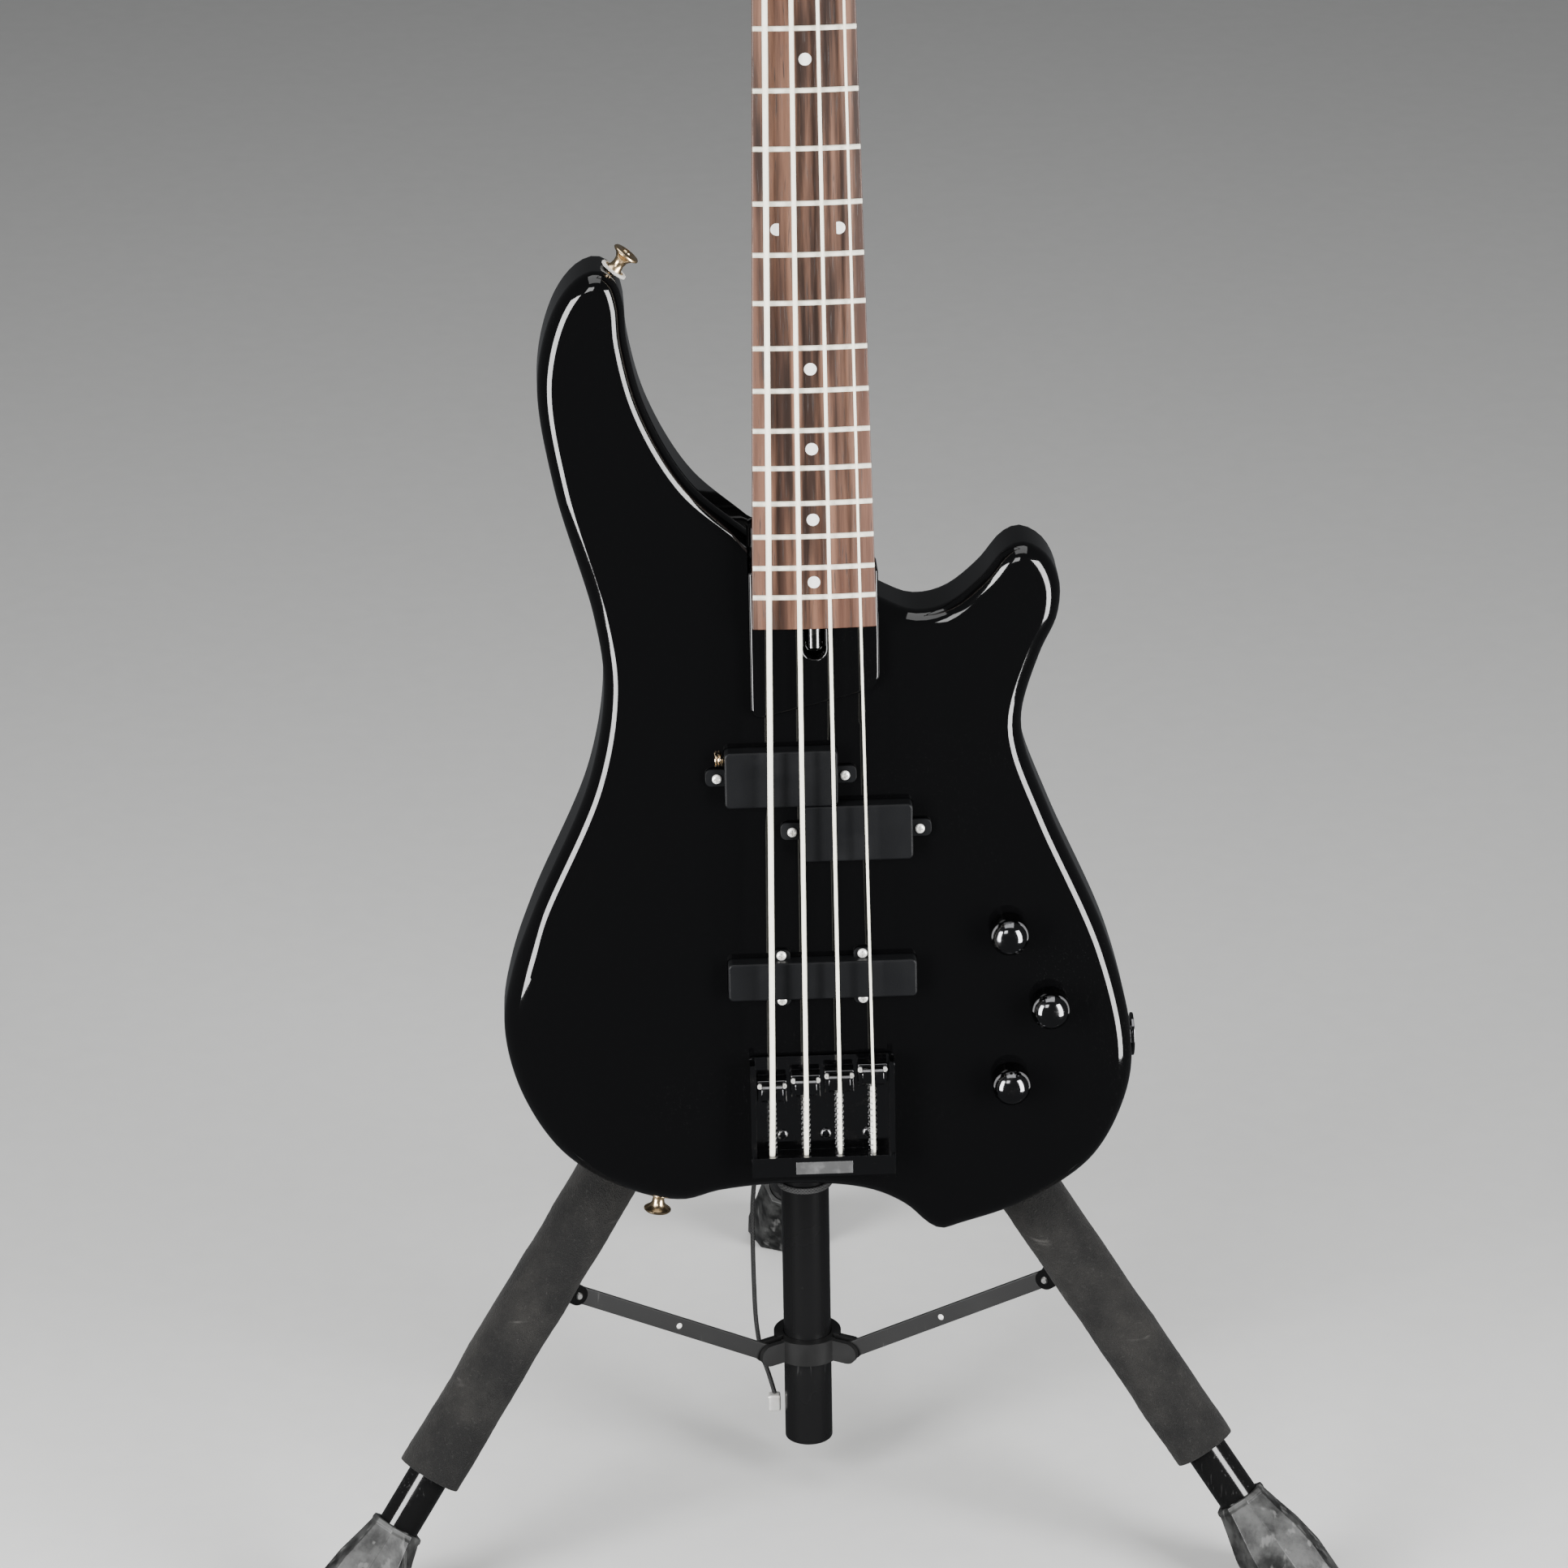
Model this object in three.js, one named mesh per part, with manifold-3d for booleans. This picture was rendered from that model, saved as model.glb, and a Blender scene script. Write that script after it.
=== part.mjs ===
// Four-string electric bass hanging by its neck on a folding tripod stand.
// Millimetres, +Z up, seen from -Y. The stand's tube stands on X = 0, Y = 0 and the
// floor is Z = 0; the last group moves the origin to the bottom centre of the whole.
import * as THREE from "three";
import { mergeVertices } from "three/addons/utils/BufferGeometryUtils.js";
import Module from "manifold-3d";

const wasm = await Module();
wasm.setup();

// ---------------------------------------------------------------- driving dimensions
const gap = 0.3; // between neighbouring pieces
const through = 200; // longer than any cut that goes right through
const roundSides = 16;
const smallSides = 8;

// Stand
const tubeRadius = 12.7;
const tubeWall = 1.5;
const tubeBottom = 26;
const tubeTop = 600;
const mastRadius = 9.5;
const mastWall = 1.5;
const mastInsertion = 190;
const footSpread = 292; // from the tube's axis to where a leg's axis meets the floor
const hubHeight = 321;
const hubPivotRadius = 37;
const hubWall = 5;
const hubSleeveHeight = 52;
const legRadius = 10.75;
const legWall = 1.5;
const legTopReach = 9; // the leg tube's length above its pivot
const legLift = 12.5; // height of a leg tube's axis above the floor at its end
const earThickness = 4;
const pinRadius = 3;
const pinClearance = 0.35;
const braceThickness = 3;
const braceHeight = 9;
const braceRivetRadius = 2;
const braceSideClearance = 0.5;
const lugStation = 197; // along the leg, from the hub pivot to the brace pivot
const lugOffset = 21; // from the leg's axis inwards to the brace pivot
const collarHeight = 83;
const collarThickness = 13;
const collarWall = 5;
const collarPivotRadius = 25.5;
const sleeveRadius = 17;
const sleeveStart = 40; // along the leg, from the hub pivot
const sleeveEnd = 316;
const bootStart = 347;
const bootWall = 2.6;
const bootFlare = 9;
const clutchLength = 62;
const clutchWall = 5;
const hubEarHeight = 18;
const collarEarHeight = 12;
const lugEarHeight = 11;
const knobAngle = 30; // direction in which the hub's clamp knob points, in degrees
const clampKnobRadius = 17;
const clampKnobHeight = 13;
const clampKnobLobes = 5;
const clampScrewRadius = 3.7;
const bossRadius = 8; // the hub's threaded boss for the clamp knob
const bossReach = 9;

// Yoke
const yokeRodRadius = 5;
const yokePadRadius = 10;
const yokePadLength = 46;
const yokeArmSpacing = 64;
const yokeTipLength = 16;
const yokeBend = 9;
const yokeSocketWall = 3.5;
const yokeSocketDrop = 22; // from the arms' height to the socket's lower rim
const yokeStemHalf = 6;
const mastAboveYoke = 14;

// Tie cord and its clip, beside the tube
const cordRadius = 1.25;
const clipLow = [-21.5, 3.6, 38];
const clipHigh = [-14.6, 10, 48];

// Guitar. Its group has X to the right, Y into the body and Z up the neck, and
// starts on the body's face at the saddle line.
const lean = THREE.MathUtils.degToRad(2.5);
const guitarShift = 5; // to the right of the stand's tube
const saddleHeight = 300.62; // above the floor
const foamContactGap = 2;
const holdAboveNut = 0.2; // from the nut up to the pads' centre line
const scaleLength = 864;
const bodyDepth = 44;
const bodyEdge = 8;
const neckTop = -5; // the neck's flat under the fingerboard
const boardThickness = 6;
const boardEnd = 240; // the fingerboard's lower end
const boardCamber = 1.5;
const boardEndWidth = 61.5;
const nutWidth = 38;
const nutThickness = 4;
const nutHeight = 3; // above the fingerboard
const neckDepthAtNut = 15;
const neckDepthAtHeel = 18;
const heelDepth = 21;
const heelWidth = 64;
const heelEndBass = 190;
const heelEndTreble = 205;
const heelTop = 268;
const heelCorner = 7;
const trussRadius = 2.8;
const headstockThickness = 14;
const headstockSetback = 6; // behind the neck's flat
const stringNames = ["e", "a", "d", "g"];
const stringRadii = [1.4, 1.15, 0.9, 0.65];
const saddleZ = [-6, -3.5, -1.5, 1.5];
const stringSpacingAtBridge = 17;
const stringSpacingAtNut = 10.2;
const stringHeightAtSaddle = 16; // centre line above the body's face
const stringHeightAboveBoard = 1.8; // centre line at the nut
const stringHeightAtPost = 5; // in front of the headstock's face
const stringHeightAtTail = 9;
const splitPickups = [
  { name: "pickup_split_e", x: -17.8, z: 159.7 },
  { name: "pickup_split_g", x: 19.3, z: 130 },
];
const splitWidth = 56.5;
const splitHeight = 29.4;
const barPickup = { x: 1.2, z: 51, width: 95, height: 20 };
const barScrewPlaces = [-19.3, 21.6];
const pickupProud = 8;
const pickupDepth = 10;
const pickupEar = 7.5;
const earFront = -2.6;
const earBack = -0.6;
const controlPlaces = [[95.5, 72], [116, 31], [96, -10]];
const knobRadius = 9.75;
const knobHeight = 16.5;
const knobShaftRadius = 3;
const cavityFront = 14; // the control cavity's front wall, behind the body's face
const coverThickness = 2;
const neckPlate = { width: 62, height: 50, z: 232, thickness: 2 };
const jackPlace = [158.7, 22, 4];
const jackBarrel = 6;
const jackFlange = 11;
const jackBore = 3.35;
const jackDepth = 24;
const bridgeFront = 8;
const bridgeBack = -54;
const bridgeThickness = 2.5;
const bridgeWallPlace = -43.5;
const bridgeWallThickness = 3;
const saddleClearance = 1.4; // between neighbouring saddles
const grooveDrop = 1.8; // how much deeper a saddle's groove is where the string leaves it
const railWidth = 2.6; // the bridge's side rails
const saddleLength = 12;
const postRadius = 6;
const postSpacing = 40;
const firstPostAboveNut = 38;
const wheelRadius = 8.5;
const wormRadius = 3.2;
const keyShaftRadius = 2.6;
const keyReach = 28; // from the post's axis to the button's foot
const strapRadius = 7;
const strapLength = 12;
const strapButtonPlaces = {
  horn: { place: [-94.3, 21, 417.2], direction: [0.62, 0, 0.78] },
  end: { place: [-83.5, 22, -74.4], direction: [-0.12, 0, -1] },
};

// ---------------------------------------------------------------- shape helpers
const radians = THREE.MathUtils.degToRad;

function toManifold(geometry) {
  const bare = geometry.clone();
  bare.deleteAttribute("normal");
  bare.deleteAttribute("uv");
  const merged = mergeVertices(bare, 1e-4);
  const vertProperties = new Float32Array(merged.attributes.position.array);
  const triVerts = new Uint32Array(merged.index.array);
  return new wasm.Manifold(new wasm.Mesh({ numProp: 3, vertProperties, triVerts }));
}

function toGeometry(manifold) {
  const mesh = manifold.getMesh();
  const geometry = new THREE.BufferGeometry();
  geometry.setAttribute("position", new THREE.BufferAttribute(mesh.vertProperties, 3));
  geometry.setIndex(new THREE.BufferAttribute(mesh.triVerts, 1));
  return geometry;
}

function join(...geometries) {
  return toGeometry(geometries.map(toManifold).reduce((whole, next) => whole.add(next)));
}

function cut(base, ...tools) {
  return toGeometry(tools.map(toManifold).reduce((left, tool) => left.subtract(tool), toManifold(base)));
}

// A box between two corners.
function block(low, high) {
  const size = high.map((value, axis) => value - low[axis]);
  const geometry = new THREE.BoxGeometry(...size);
  return geometry.translate(...low.map((value, axis) => value + size[axis] / 2));
}

// A cylinder along Z.
function rod(radius, from, to, sides = roundSides) {
  const geometry = new THREE.CylinderGeometry(radius, radius, to - from, sides);
  return geometry.rotateX(Math.PI / 2).translate(0, 0, (from + to) / 2);
}

// A solid of revolution about Z from [radius, z] points, listed anticlockwise.
function revolve(points, sides = roundSides) {
  const profile = points.map((point) => new THREE.Vector2(...point));
  return new THREE.LatheGeometry(profile, sides).rotateX(Math.PI / 2);
}

function pipe(outer, inner, from, to, sides = roundSides) {
  return revolve([[inner, from], [outer, from], [outer, to], [inner, to], [inner, from]], sides);
}

const alongX = (geometry) => geometry.rotateY(Math.PI / 2);
const alongY = (geometry) => geometry.rotateX(-Math.PI / 2);

// A plate drawn in X and Z, from y = front to y = back.
function plate(shape, front, back, bevel = 0, bevelSegments = 1) {
  const geometry = new THREE.ExtrudeGeometry(shape, {
    depth: back - front - 2 * bevel,
    bevelEnabled: bevel > 0,
    bevelThickness: bevel,
    bevelSize: bevel,
    bevelOffset: -bevel,
    bevelSegments,
    curveSegments: 3,
  });
  return geometry.rotateX(Math.PI / 2).translate(0, back - bevel, 0);
}

function polygon(points) {
  return new THREE.Shape(points.map((point) => new THREE.Vector2(...point)));
}

// A rectangle with rounded corners, between two opposite corners.
function roundedRectangle(left, bottom, right, top, radius) {
  const shape = new THREE.Shape();
  const quarter = Math.PI / 2;
  shape.absarc(right - radius, top - radius, radius, 0, quarter);
  shape.absarc(left + radius, top - radius, radius, quarter, 2 * quarter);
  shape.absarc(left + radius, bottom + radius, radius, 2 * quarter, 3 * quarter);
  shape.absarc(right - radius, bottom + radius, radius, 3 * quarter, 4 * quarter);
  return shape;
}

// A closed outline through [x, z] points: a smooth curve, with its two ends joined straight.
function smoothOutline(points, count) {
  const curve = new THREE.CatmullRomCurve3(points.map(([x, z]) => new THREE.Vector3(x, z, 0)));
  return polygon(curve.getSpacedPoints(count).map((point) => [point.x, point.y]));
}

// Moves each vertex to where the given function puts it.
function reshape(geometry, place) {
  const position = geometry.attributes.position;
  const vertex = new THREE.Vector3();
  for (let index = 0; index < position.count; index += 1) {
    place(vertex.fromBufferAttribute(position, index));
    position.setXYZ(index, vertex.x, vertex.y, vertex.z);
  }
  return geometry;
}

// A straight rod from one point to another, a little longer at both ends so that two meet.
function strut(radius, start, end, sides = 6) {
  const from = new THREE.Vector3(...start);
  const direction = new THREE.Vector3(...end).sub(from);
  const overlap = radius / 4;
  const geometry = rod(radius, -overlap, direction.length() + overlap, sides);
  const up = new THREE.Vector3(0, 0, 1);
  geometry.applyQuaternion(new THREE.Quaternion().setFromUnitVectors(up, direction.normalize()));
  return geometry.translate(from.x, from.y, from.z);
}

// ---------------------------------------------------------------- materials
function finish(color, roughness, metalness = 0) {
  return new THREE.MeshStandardMaterial({ color, roughness, metalness });
}

const finishes = {
  lacquer: finish(0x050506, 0.06),
  rosewood: finish(0x5a3424, 0.5),
  plastic: finish(0x0b0b0c, 0.35),
  nutBone: finish(0xe6dfcc, 0.4),
  blackChrome: finish(0x1b1b1d, 0.18, 1),
  chrome: finish(0xb9b9bb, 0.15, 1),
  brass: finish(0xc79a5b, 0.25, 1),
  steel: finish(0x8c8c8c, 0.35, 1),
  stringSteel: finish(0xd8d2bf, 0.3, 1),
  satinBlack: finish(0x141414, 0.4, 0.4),
  glossBlack: finish(0x080808, 0.12, 0.3),
  foam: finish(0x232323, 0.95),
  rubber: finish(0x6f7070, 0.6),
  cord: finish(0x0a0a0a, 0.7),
};

function piece(name, geometry, material, position = [0, 0, 0]) {
  const mesh = new THREE.Mesh(geometry, material);
  mesh.name = name;
  mesh.position.set(...position);
  return mesh;
}

function group(children, position = [0, 0, 0]) {
  const holder = new THREE.Group();
  holder.position.set(...position);
  holder.add(...children);
  return holder;
}

// ---------------------------------------------------------------- places in the folding stand
const legNames = { left: 210, right: 330, rear: 90 };
const legAngle = Math.atan2(footSpread - hubPivotRadius, hubHeight);
const legLength = (hubHeight - legLift) / Math.cos(legAngle);
const lug = {
  radius: hubPivotRadius + lugStation * Math.sin(legAngle) - lugOffset * Math.cos(legAngle),
  height: hubHeight - lugStation * Math.cos(legAngle) - lugOffset * Math.sin(legAngle),
};
const braceLength = Math.hypot(lug.radius - collarPivotRadius, lug.height - collarHeight);
const braceAngle = Math.atan2(lug.radius - collarPivotRadius, lug.height - collarHeight);
const slotWidth = braceThickness + 2 * braceSideClearance;

// ---------------------------------------------------------------- where the guitar hangs
// The body's lower back edge rests on the two front sleeves, and the headstock's
// shoulders rest on the yoke's pads.
const restZ = -71; // where the flat of the back ends, above the right front leg
const holdZ = scaleLength + holdAboveNut;
const yokeHeight = saddleHeight + holdZ * Math.cos(lean);
const mastTop = yokeHeight + mastAboveYoke;
const mastBottom = tubeTop - mastInsertion;
const restHeight = saddleHeight + restZ * Math.cos(lean) - bodyDepth * Math.sin(lean);
const restRadius = hubPivotRadius + (hubHeight - restHeight) * Math.tan(legAngle);
const sideways = Math.sin(radians(30));
const sleeveFront = sleeveRadius * Math.hypot(Math.cos(radians(30)), sideways / Math.cos(legAngle));
const backY = -restRadius * sideways - sleeveFront - foamContactGap;
const guitarY = backY - bodyDepth * Math.cos(lean) - restZ * Math.sin(lean);

// ---------------------------------------------------------------- stand
// Puts children in the vertical plane of one leg, X pointing away from the tube.
function inLegPlane(azimuth, children) {
  const holder = group(children);
  holder.rotation.z = radians(azimuth);
  return holder;
}

// A pair of ears along Y-facing plates, from the ring at `from` out to a round end at `pivot`.
function earPair(from, pivot, height, innerGap, thickness, half) {
  const outline = new THREE.Shape();
  outline.moveTo(from, height - half);
  outline.lineTo(pivot, height - half);
  outline.absarc(pivot, height, half, -Math.PI / 2, Math.PI / 2);
  outline.lineTo(from, height + half);
  const inner = innerGap / 2;
  const outer = inner + thickness;
  return [plate(outline, -outer, -inner), plate(outline, inner, outer)];
}

function turned(geometry, azimuth) {
  return geometry.rotateZ(radians(azimuth));
}

function hubGeometry() {
  const bore = tubeRadius + gap;
  const half = hubSleeveHeight / 2;
  const sleeve = pipe(bore + hubWall, bore, hubHeight - half, hubHeight + half);
  const parts = Object.values(legNames).flatMap((azimuth) => {
    const spread = 2 * (legRadius + gap);
    const ears = earPair(bore + 1, hubPivotRadius, hubHeight, spread, earThickness, hubEarHeight / 2);
    const pinHalf = legRadius + gap + earThickness + 1.5;
    const pin = alongY(rod(pinRadius, -pinHalf, pinHalf, smallSides)).translate(hubPivotRadius, 0, hubHeight);
    return [...ears, pin].map((part) => turned(part, azimuth));
  });
  const boss = alongX(rod(bossRadius, bore + 1, bore + hubWall + bossReach)).translate(0, 0, hubHeight);
  const bossHole = alongX(rod(clampScrewRadius + gap, bore - 2, through)).translate(0, 0, hubHeight);
  return cut(join(sleeve, ...parts, turned(boss, knobAngle)), turned(bossHole, knobAngle));
}

// A lobed knob whose screw reaches through the hub towards the tube.
function clampKnobGeometry() {
  const lobeDepth = 0.13; // a share of the radius
  const steps = clampKnobLobes * 6;
  const outline = new THREE.Shape();
  for (let step = 0; step < steps; step += 1) {
    const angle = (step / steps) * 2 * Math.PI;
    const radius = clampKnobRadius * (1 - lobeDepth + lobeDepth * Math.cos(clampKnobLobes * angle));
    outline[step ? "lineTo" : "moveTo"](radius * Math.cos(angle), radius * Math.sin(angle));
  }
  const start = tubeRadius + gap + hubWall + bossReach + gap;
  const neckLength = 5;
  const head = plate(outline, 0, clampKnobHeight, 2, 1).rotateX(Math.PI / 2);
  const headAlongX = alongX(head).translate(start + neckLength, 0, 0);
  const neck = alongX(rod(bossRadius - 1, start, start + neckLength + 1));
  const screw = alongX(rod(clampScrewRadius, tubeRadius + gap, start + 1, smallSides));
  return join(headAlongX, neck, screw);
}

function legGeometry() {
  const tube = pipe(legRadius, legRadius - legWall, -legLength, legTopReach);
  const pinHole = alongY(rod(pinRadius + pinClearance, -through, through, smallSides));
  const ears = earPair(legRadius - legWall + 0.5, lugOffset, 0, slotWidth, braceThickness, lugEarHeight / 2);
  const rivetHalf = slotWidth / 2 + braceThickness + 1;
  const rivet = alongY(rod(braceRivetRadius, -rivetHalf, rivetHalf, smallSides)).translate(lugOffset, 0, 0);
  const bracket = [...ears, rivet].map((part) => part.rotateZ(Math.PI).translate(0, 0, -lugStation));
  return join(cut(tube, pinHole), ...bracket);
}

// A foam tube with a slot on its inner side, where the leg's bracket comes through.
function sleeveGeometry() {
  const foam = pipe(sleeveRadius, legRadius + gap, -sleeveEnd, -sleeveStart);
  const slotHalf = slotWidth / 2 + braceThickness + 2;
  const slotReach = lugEarHeight / 2 + 8.5;
  const slot = block([-through, -slotHalf, -lugStation - slotReach], [0, slotHalf, -lugStation + slotReach]);
  return cut(foam, slot);
}

// A flared rubber boot on a leg's end, cut flat by the floor.
function bootGeometry() {
  const rim = legRadius + gap + bootWall;
  const end = hubHeight / Math.cos(legAngle) + 30;
  const widest = rim + bootFlare;
  const facets = 8;
  const outside = revolve([
    [0, -end], [widest, -end], [widest, -legLength + 6], [rim + 2.5, -bootStart - 14], [rim, -bootStart],
    [0, -bootStart],
  ], facets);
  const bore = rod(legRadius + gap, -legLength - gap, 0);
  const below = block([0, -through, -hubHeight - through], [3 * through, through, -hubHeight]);
  const floor = below.rotateY(legAngle);
  return cut(outside, bore, floor);
}

function braceGeometry() {
  const half = braceHeight / 2;
  const outline = new THREE.Shape();
  outline.absarc(0, 0, half, Math.PI, 2 * Math.PI);
  outline.absarc(0, braceLength, half, 0, Math.PI);
  const holeRadius = braceRivetRadius + pinClearance;
  for (const end of [0, braceLength]) {
    outline.holes.push(new THREE.Path().absarc(0, end, holeRadius, 0, 2 * Math.PI, true));
  }
  return plate(outline, -braceThickness / 2, braceThickness / 2).translate(0, 0, -braceLength);
}

function collarGeometry() {
  const bore = tubeRadius + gap;
  const half = collarThickness / 2;
  const ring = pipe(bore + collarWall, bore, collarHeight - half, collarHeight + half);
  const azimuths = Object.values(legNames);
  const ears = azimuths.flatMap((azimuth) =>
    earPair(bore + 1, collarPivotRadius, collarHeight, slotWidth, braceThickness, collarEarHeight / 2)
      .map((ear) => turned(ear, azimuth)));
  const slots = azimuths.map((azimuth) =>
    turned(block([bore + 1, -slotWidth / 2, 0], [through, slotWidth / 2, hubHeight]), azimuth));
  return cut(join(ring, ...ears), ...slots);
}

function clutchGeometry() {
  const shoulder = tubeTop + gap;
  const outer = tubeRadius + gap + clutchWall;
  const half = clutchLength / 2;
  const profile = [
    [tubeRadius + gap, shoulder - half], [outer, shoulder - half], [outer, shoulder + half - 10],
    [mastRadius + clutchWall, shoulder + half], [mastRadius + gap, shoulder + half],
    [mastRadius + gap, shoulder], [tubeRadius + gap, shoulder], [tubeRadius + gap, shoulder - half],
  ];
  const grooves = Array.from({ length: 8 }, (_, index) =>
    turned(rod(1.6, shoulder - half + 6, shoulder + half - 16, 6).translate(outer + 0.6, 0, 0), index * 45));
  return cut(revolve(profile), ...grooves);
}

function mastGeometry() {
  const guide = tubeRadius - tubeWall - gap;
  const inner = mastRadius - mastWall;
  const guideTop = mastBottom + 25;
  return revolve([
    [inner, mastBottom], [guide, mastBottom], [guide, guideTop], [mastRadius, guideTop + 2],
    [mastRadius, mastTop], [inner, mastTop], [inner, mastBottom],
  ]);
}

function legAssembly(side, azimuth) {
  const children = [piece(`leg_${side}`, legGeometry(), finishes.glossBlack)];
  if (side !== "rear") {
    children.push(piece(`foam_sleeve_${side}`, sleeveGeometry(), finishes.foam));
  }
  children.push(piece(`foot_${side}`, bootGeometry(), finishes.rubber));
  const leg = group(children, [hubPivotRadius, 0, hubHeight]);
  leg.rotation.y = -legAngle;
  const bar = piece(`brace_${side}`, braceGeometry(), finishes.satinBlack);
  const brace = group([bar], [lug.radius, 0, lug.height]);
  brace.rotation.y = braceAngle;
  return inLegPlane(azimuth, [leg, brace]);
}

// A thin cord tied to the tube at its top, bowing out and ending in a clip low on the tube.
const cordRoute = [
  [-13.8, 4, 179], [-20, 6, 181], [-25.5, 7.5, 177], [-27.5, 8.5, 165], [-28, 9, 140], [-27.8, 9, 112],
  [-27, 9, 90], [-24.5, 8.5, 72], [-20.5, 7.5, 58], [-18, 6.8, 48.3],
];

function cordGeometry() {
  const curve = new THREE.CatmullRomCurve3(cordRoute.map((point) => new THREE.Vector3(...point)));
  const circle = new THREE.Shape().absarc(0, 0, cordRadius, 0, 2 * Math.PI);
  const section = polygon(circle.getPoints(4).slice(0, -1).map((point) => [point.x, point.y]));
  return new THREE.ExtrudeGeometry(section, { steps: 40, bevelEnabled: false, extrudePath: curve });
}

function cordClipGeometry() {
  return cut(block(clipLow, clipHigh), rod(tubeRadius + gap, 0, hubHeight));
}

function standGroup() {
  const knob = piece("clamp_knob", clampKnobGeometry(), finishes.plastic, [0, 0, hubHeight]);
  knob.rotation.z = radians(knobAngle);
  const legs = Object.entries(legNames).map(([side, azimuth]) => legAssembly(side, azimuth));
  return group([
    piece("lower_tube", pipe(tubeRadius, tubeRadius - tubeWall, tubeBottom, tubeTop), finishes.satinBlack),
    piece("lower_collar", collarGeometry(), finishes.plastic),
    piece("hub", hubGeometry(), finishes.plastic),
    knob,
    piece("height_clutch", clutchGeometry(), finishes.plastic),
    piece("upper_tube", mastGeometry(), finishes.satinBlack),
    piece("tie_cord", cordGeometry(), finishes.cord),
    piece("cord_clip", cordClipGeometry(), finishes.chrome),
    ...legs,
  ]);
}

// ---------------------------------------------------------------- yoke
const headBack = neckTop + headstockSetback + headstockThickness;
const headBackY = guitarY + holdZ * Math.sin(lean) + headBack * Math.cos(lean);
const forkBackY = headBackY + yokeRodRadius + 3;
const armHalf = yokeArmSpacing / 2;
const padFrontY = forkBackY - yokeBend - yokePadLength - 2 * gap;

// A round rod along straight stretches, with a smooth bend at each inner point.
function bentRod(corners, bend, radius) {
  const points = corners.map((corner) => new THREE.Vector3(...corner));
  const toward = (from, to) => from.clone().add(to.clone().sub(from).setLength(bend));
  const path = new THREE.CurvePath();
  let start = points[0];
  for (let index = 1; index < points.length - 1; index += 1) {
    const corner = points[index];
    const before = toward(corner, points[index - 1]);
    const after = toward(corner, points[index + 1]);
    path.add(new THREE.LineCurve3(start, before));
    path.add(new THREE.QuadraticBezierCurve3(before, corner, after));
    start = after;
  }
  path.add(new THREE.LineCurve3(start, points[points.length - 1]));
  const circle = new THREE.Shape().absarc(0, 0, radius, 0, 2 * Math.PI);
  const section = polygon(circle.getPoints(5).slice(0, -1).map((point) => [point.x, point.y]));
  return new THREE.ExtrudeGeometry(section, { steps: 36, bevelEnabled: false, extrudePath: path });
}

function yokeGeometry() {
  const z = yokeHeight;
  const tipY = padFrontY - yokeRodRadius;
  const side = (sign) => [
    [sign * armHalf, tipY, z + yokeTipLength],
    [sign * armHalf, tipY, z],
    [sign * armHalf, forkBackY, z],
  ];
  const corners = [...side(-1), ...side(1).reverse()];
  const fork = bentRod(corners, yokeBend, yokeRodRadius).translate(guitarShift, 0, 0);
  const socketTop = mastTop + gap + yokeSocketWall;
  const socket = rod(mastRadius + gap + yokeSocketWall, z - yokeSocketDrop, socketTop);
  const bore = rod(mastRadius + gap, z - yokeSocketDrop - 1, mastTop + gap);
  const stem = block([-7, forkBackY - 2, z - yokeStemHalf], [7 + guitarShift, -mastRadius, z + yokeStemHalf]);
  return cut(join(fork, socket, stem), bore);
}

function padGeometry() {
  return alongY(pipe(yokePadRadius, yokeRodRadius + gap, 0, yokePadLength - yokeBend, 16));
}

function yokeGroup() {
  const padY = padFrontY + yokeBend - yokeRodRadius + gap;
  const place = (sign) => [guitarShift + sign * armHalf, padY, yokeHeight];
  return group([
    piece("yoke", yokeGeometry(), finishes.satinBlack),
    piece("yoke_pad_left", padGeometry(), finishes.foam, place(-1)),
    piece("yoke_pad_right", padGeometry(), finishes.foam, place(1)),
  ]);
}

// ---------------------------------------------------------------- guitar body
const upperHorn = [
  [-31, 285], [-59, 311], [-80, 350], [-88.5, 385], [-90, 405], [-94, 416], [-102, 421], [-112, 417.5],
  [-124, 402], [-133, 366],
];
const bassSide = [
  [-126.5, 311], [-108.5, 242], [-104.7, 206], [-113.5, 156], [-143.5, 87], [-155.5, 52], [-160, 22],
  [-152, -16], [-131, -50], [-99, -69.5],
];
const tailEdge = [
  [-72, -75.3], [-52, -69.5], [-10, -67], [24, -71.6], [42, -80.6], [54, -92], [60.5, -95], [70, -92.5],
  [104, -81],
];
const trebleSide = [
  [138, -57.7], [155, -25], [158.7, 4], [147.5, 59], [118.1, 131], [104.5, 170], [103.6, 187],
  [112.8, 217.5], [121.5, 237], [122.5, 255],
];
const lowerHorn = [[116, 269], [105, 275.5], [96, 272.5], [83, 257.5], [66, 244.5], [50, 241.8], [31, 250]];
const bodyOutline = [...upperHorn, ...bassSide, ...tailEdge, ...trebleSide, ...lowerHorn];

function rectangleAt(x, z, width, height, radius, margin = 0) {
  const halfWidth = width / 2 + margin;
  const halfHeight = height / 2 + margin;
  return roundedRectangle(x - halfWidth, z - halfHeight, x + halfWidth, z + halfHeight, radius + margin);
}

// The heel's outline: rounded at its slanted end, running up under the fingerboard.
function heelShape(margin = 0) {
  const half = heelWidth / 2 + margin;
  const slant = (heelCorner * (heelEndTreble - heelEndBass)) / heelWidth;
  const bass = heelEndBass - margin;
  const treble = heelEndTreble - margin;
  const shape = new THREE.Shape();
  shape.moveTo(half, heelTop);
  shape.lineTo(-half, heelTop);
  shape.lineTo(-half, bass + heelCorner);
  shape.quadraticCurveTo(-half, bass, -half + heelCorner, bass + slant);
  shape.lineTo(half - heelCorner, treble - slant);
  shape.quadraticCurveTo(half, treble, half, treble + heelCorner);
  return shape;
}

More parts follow.
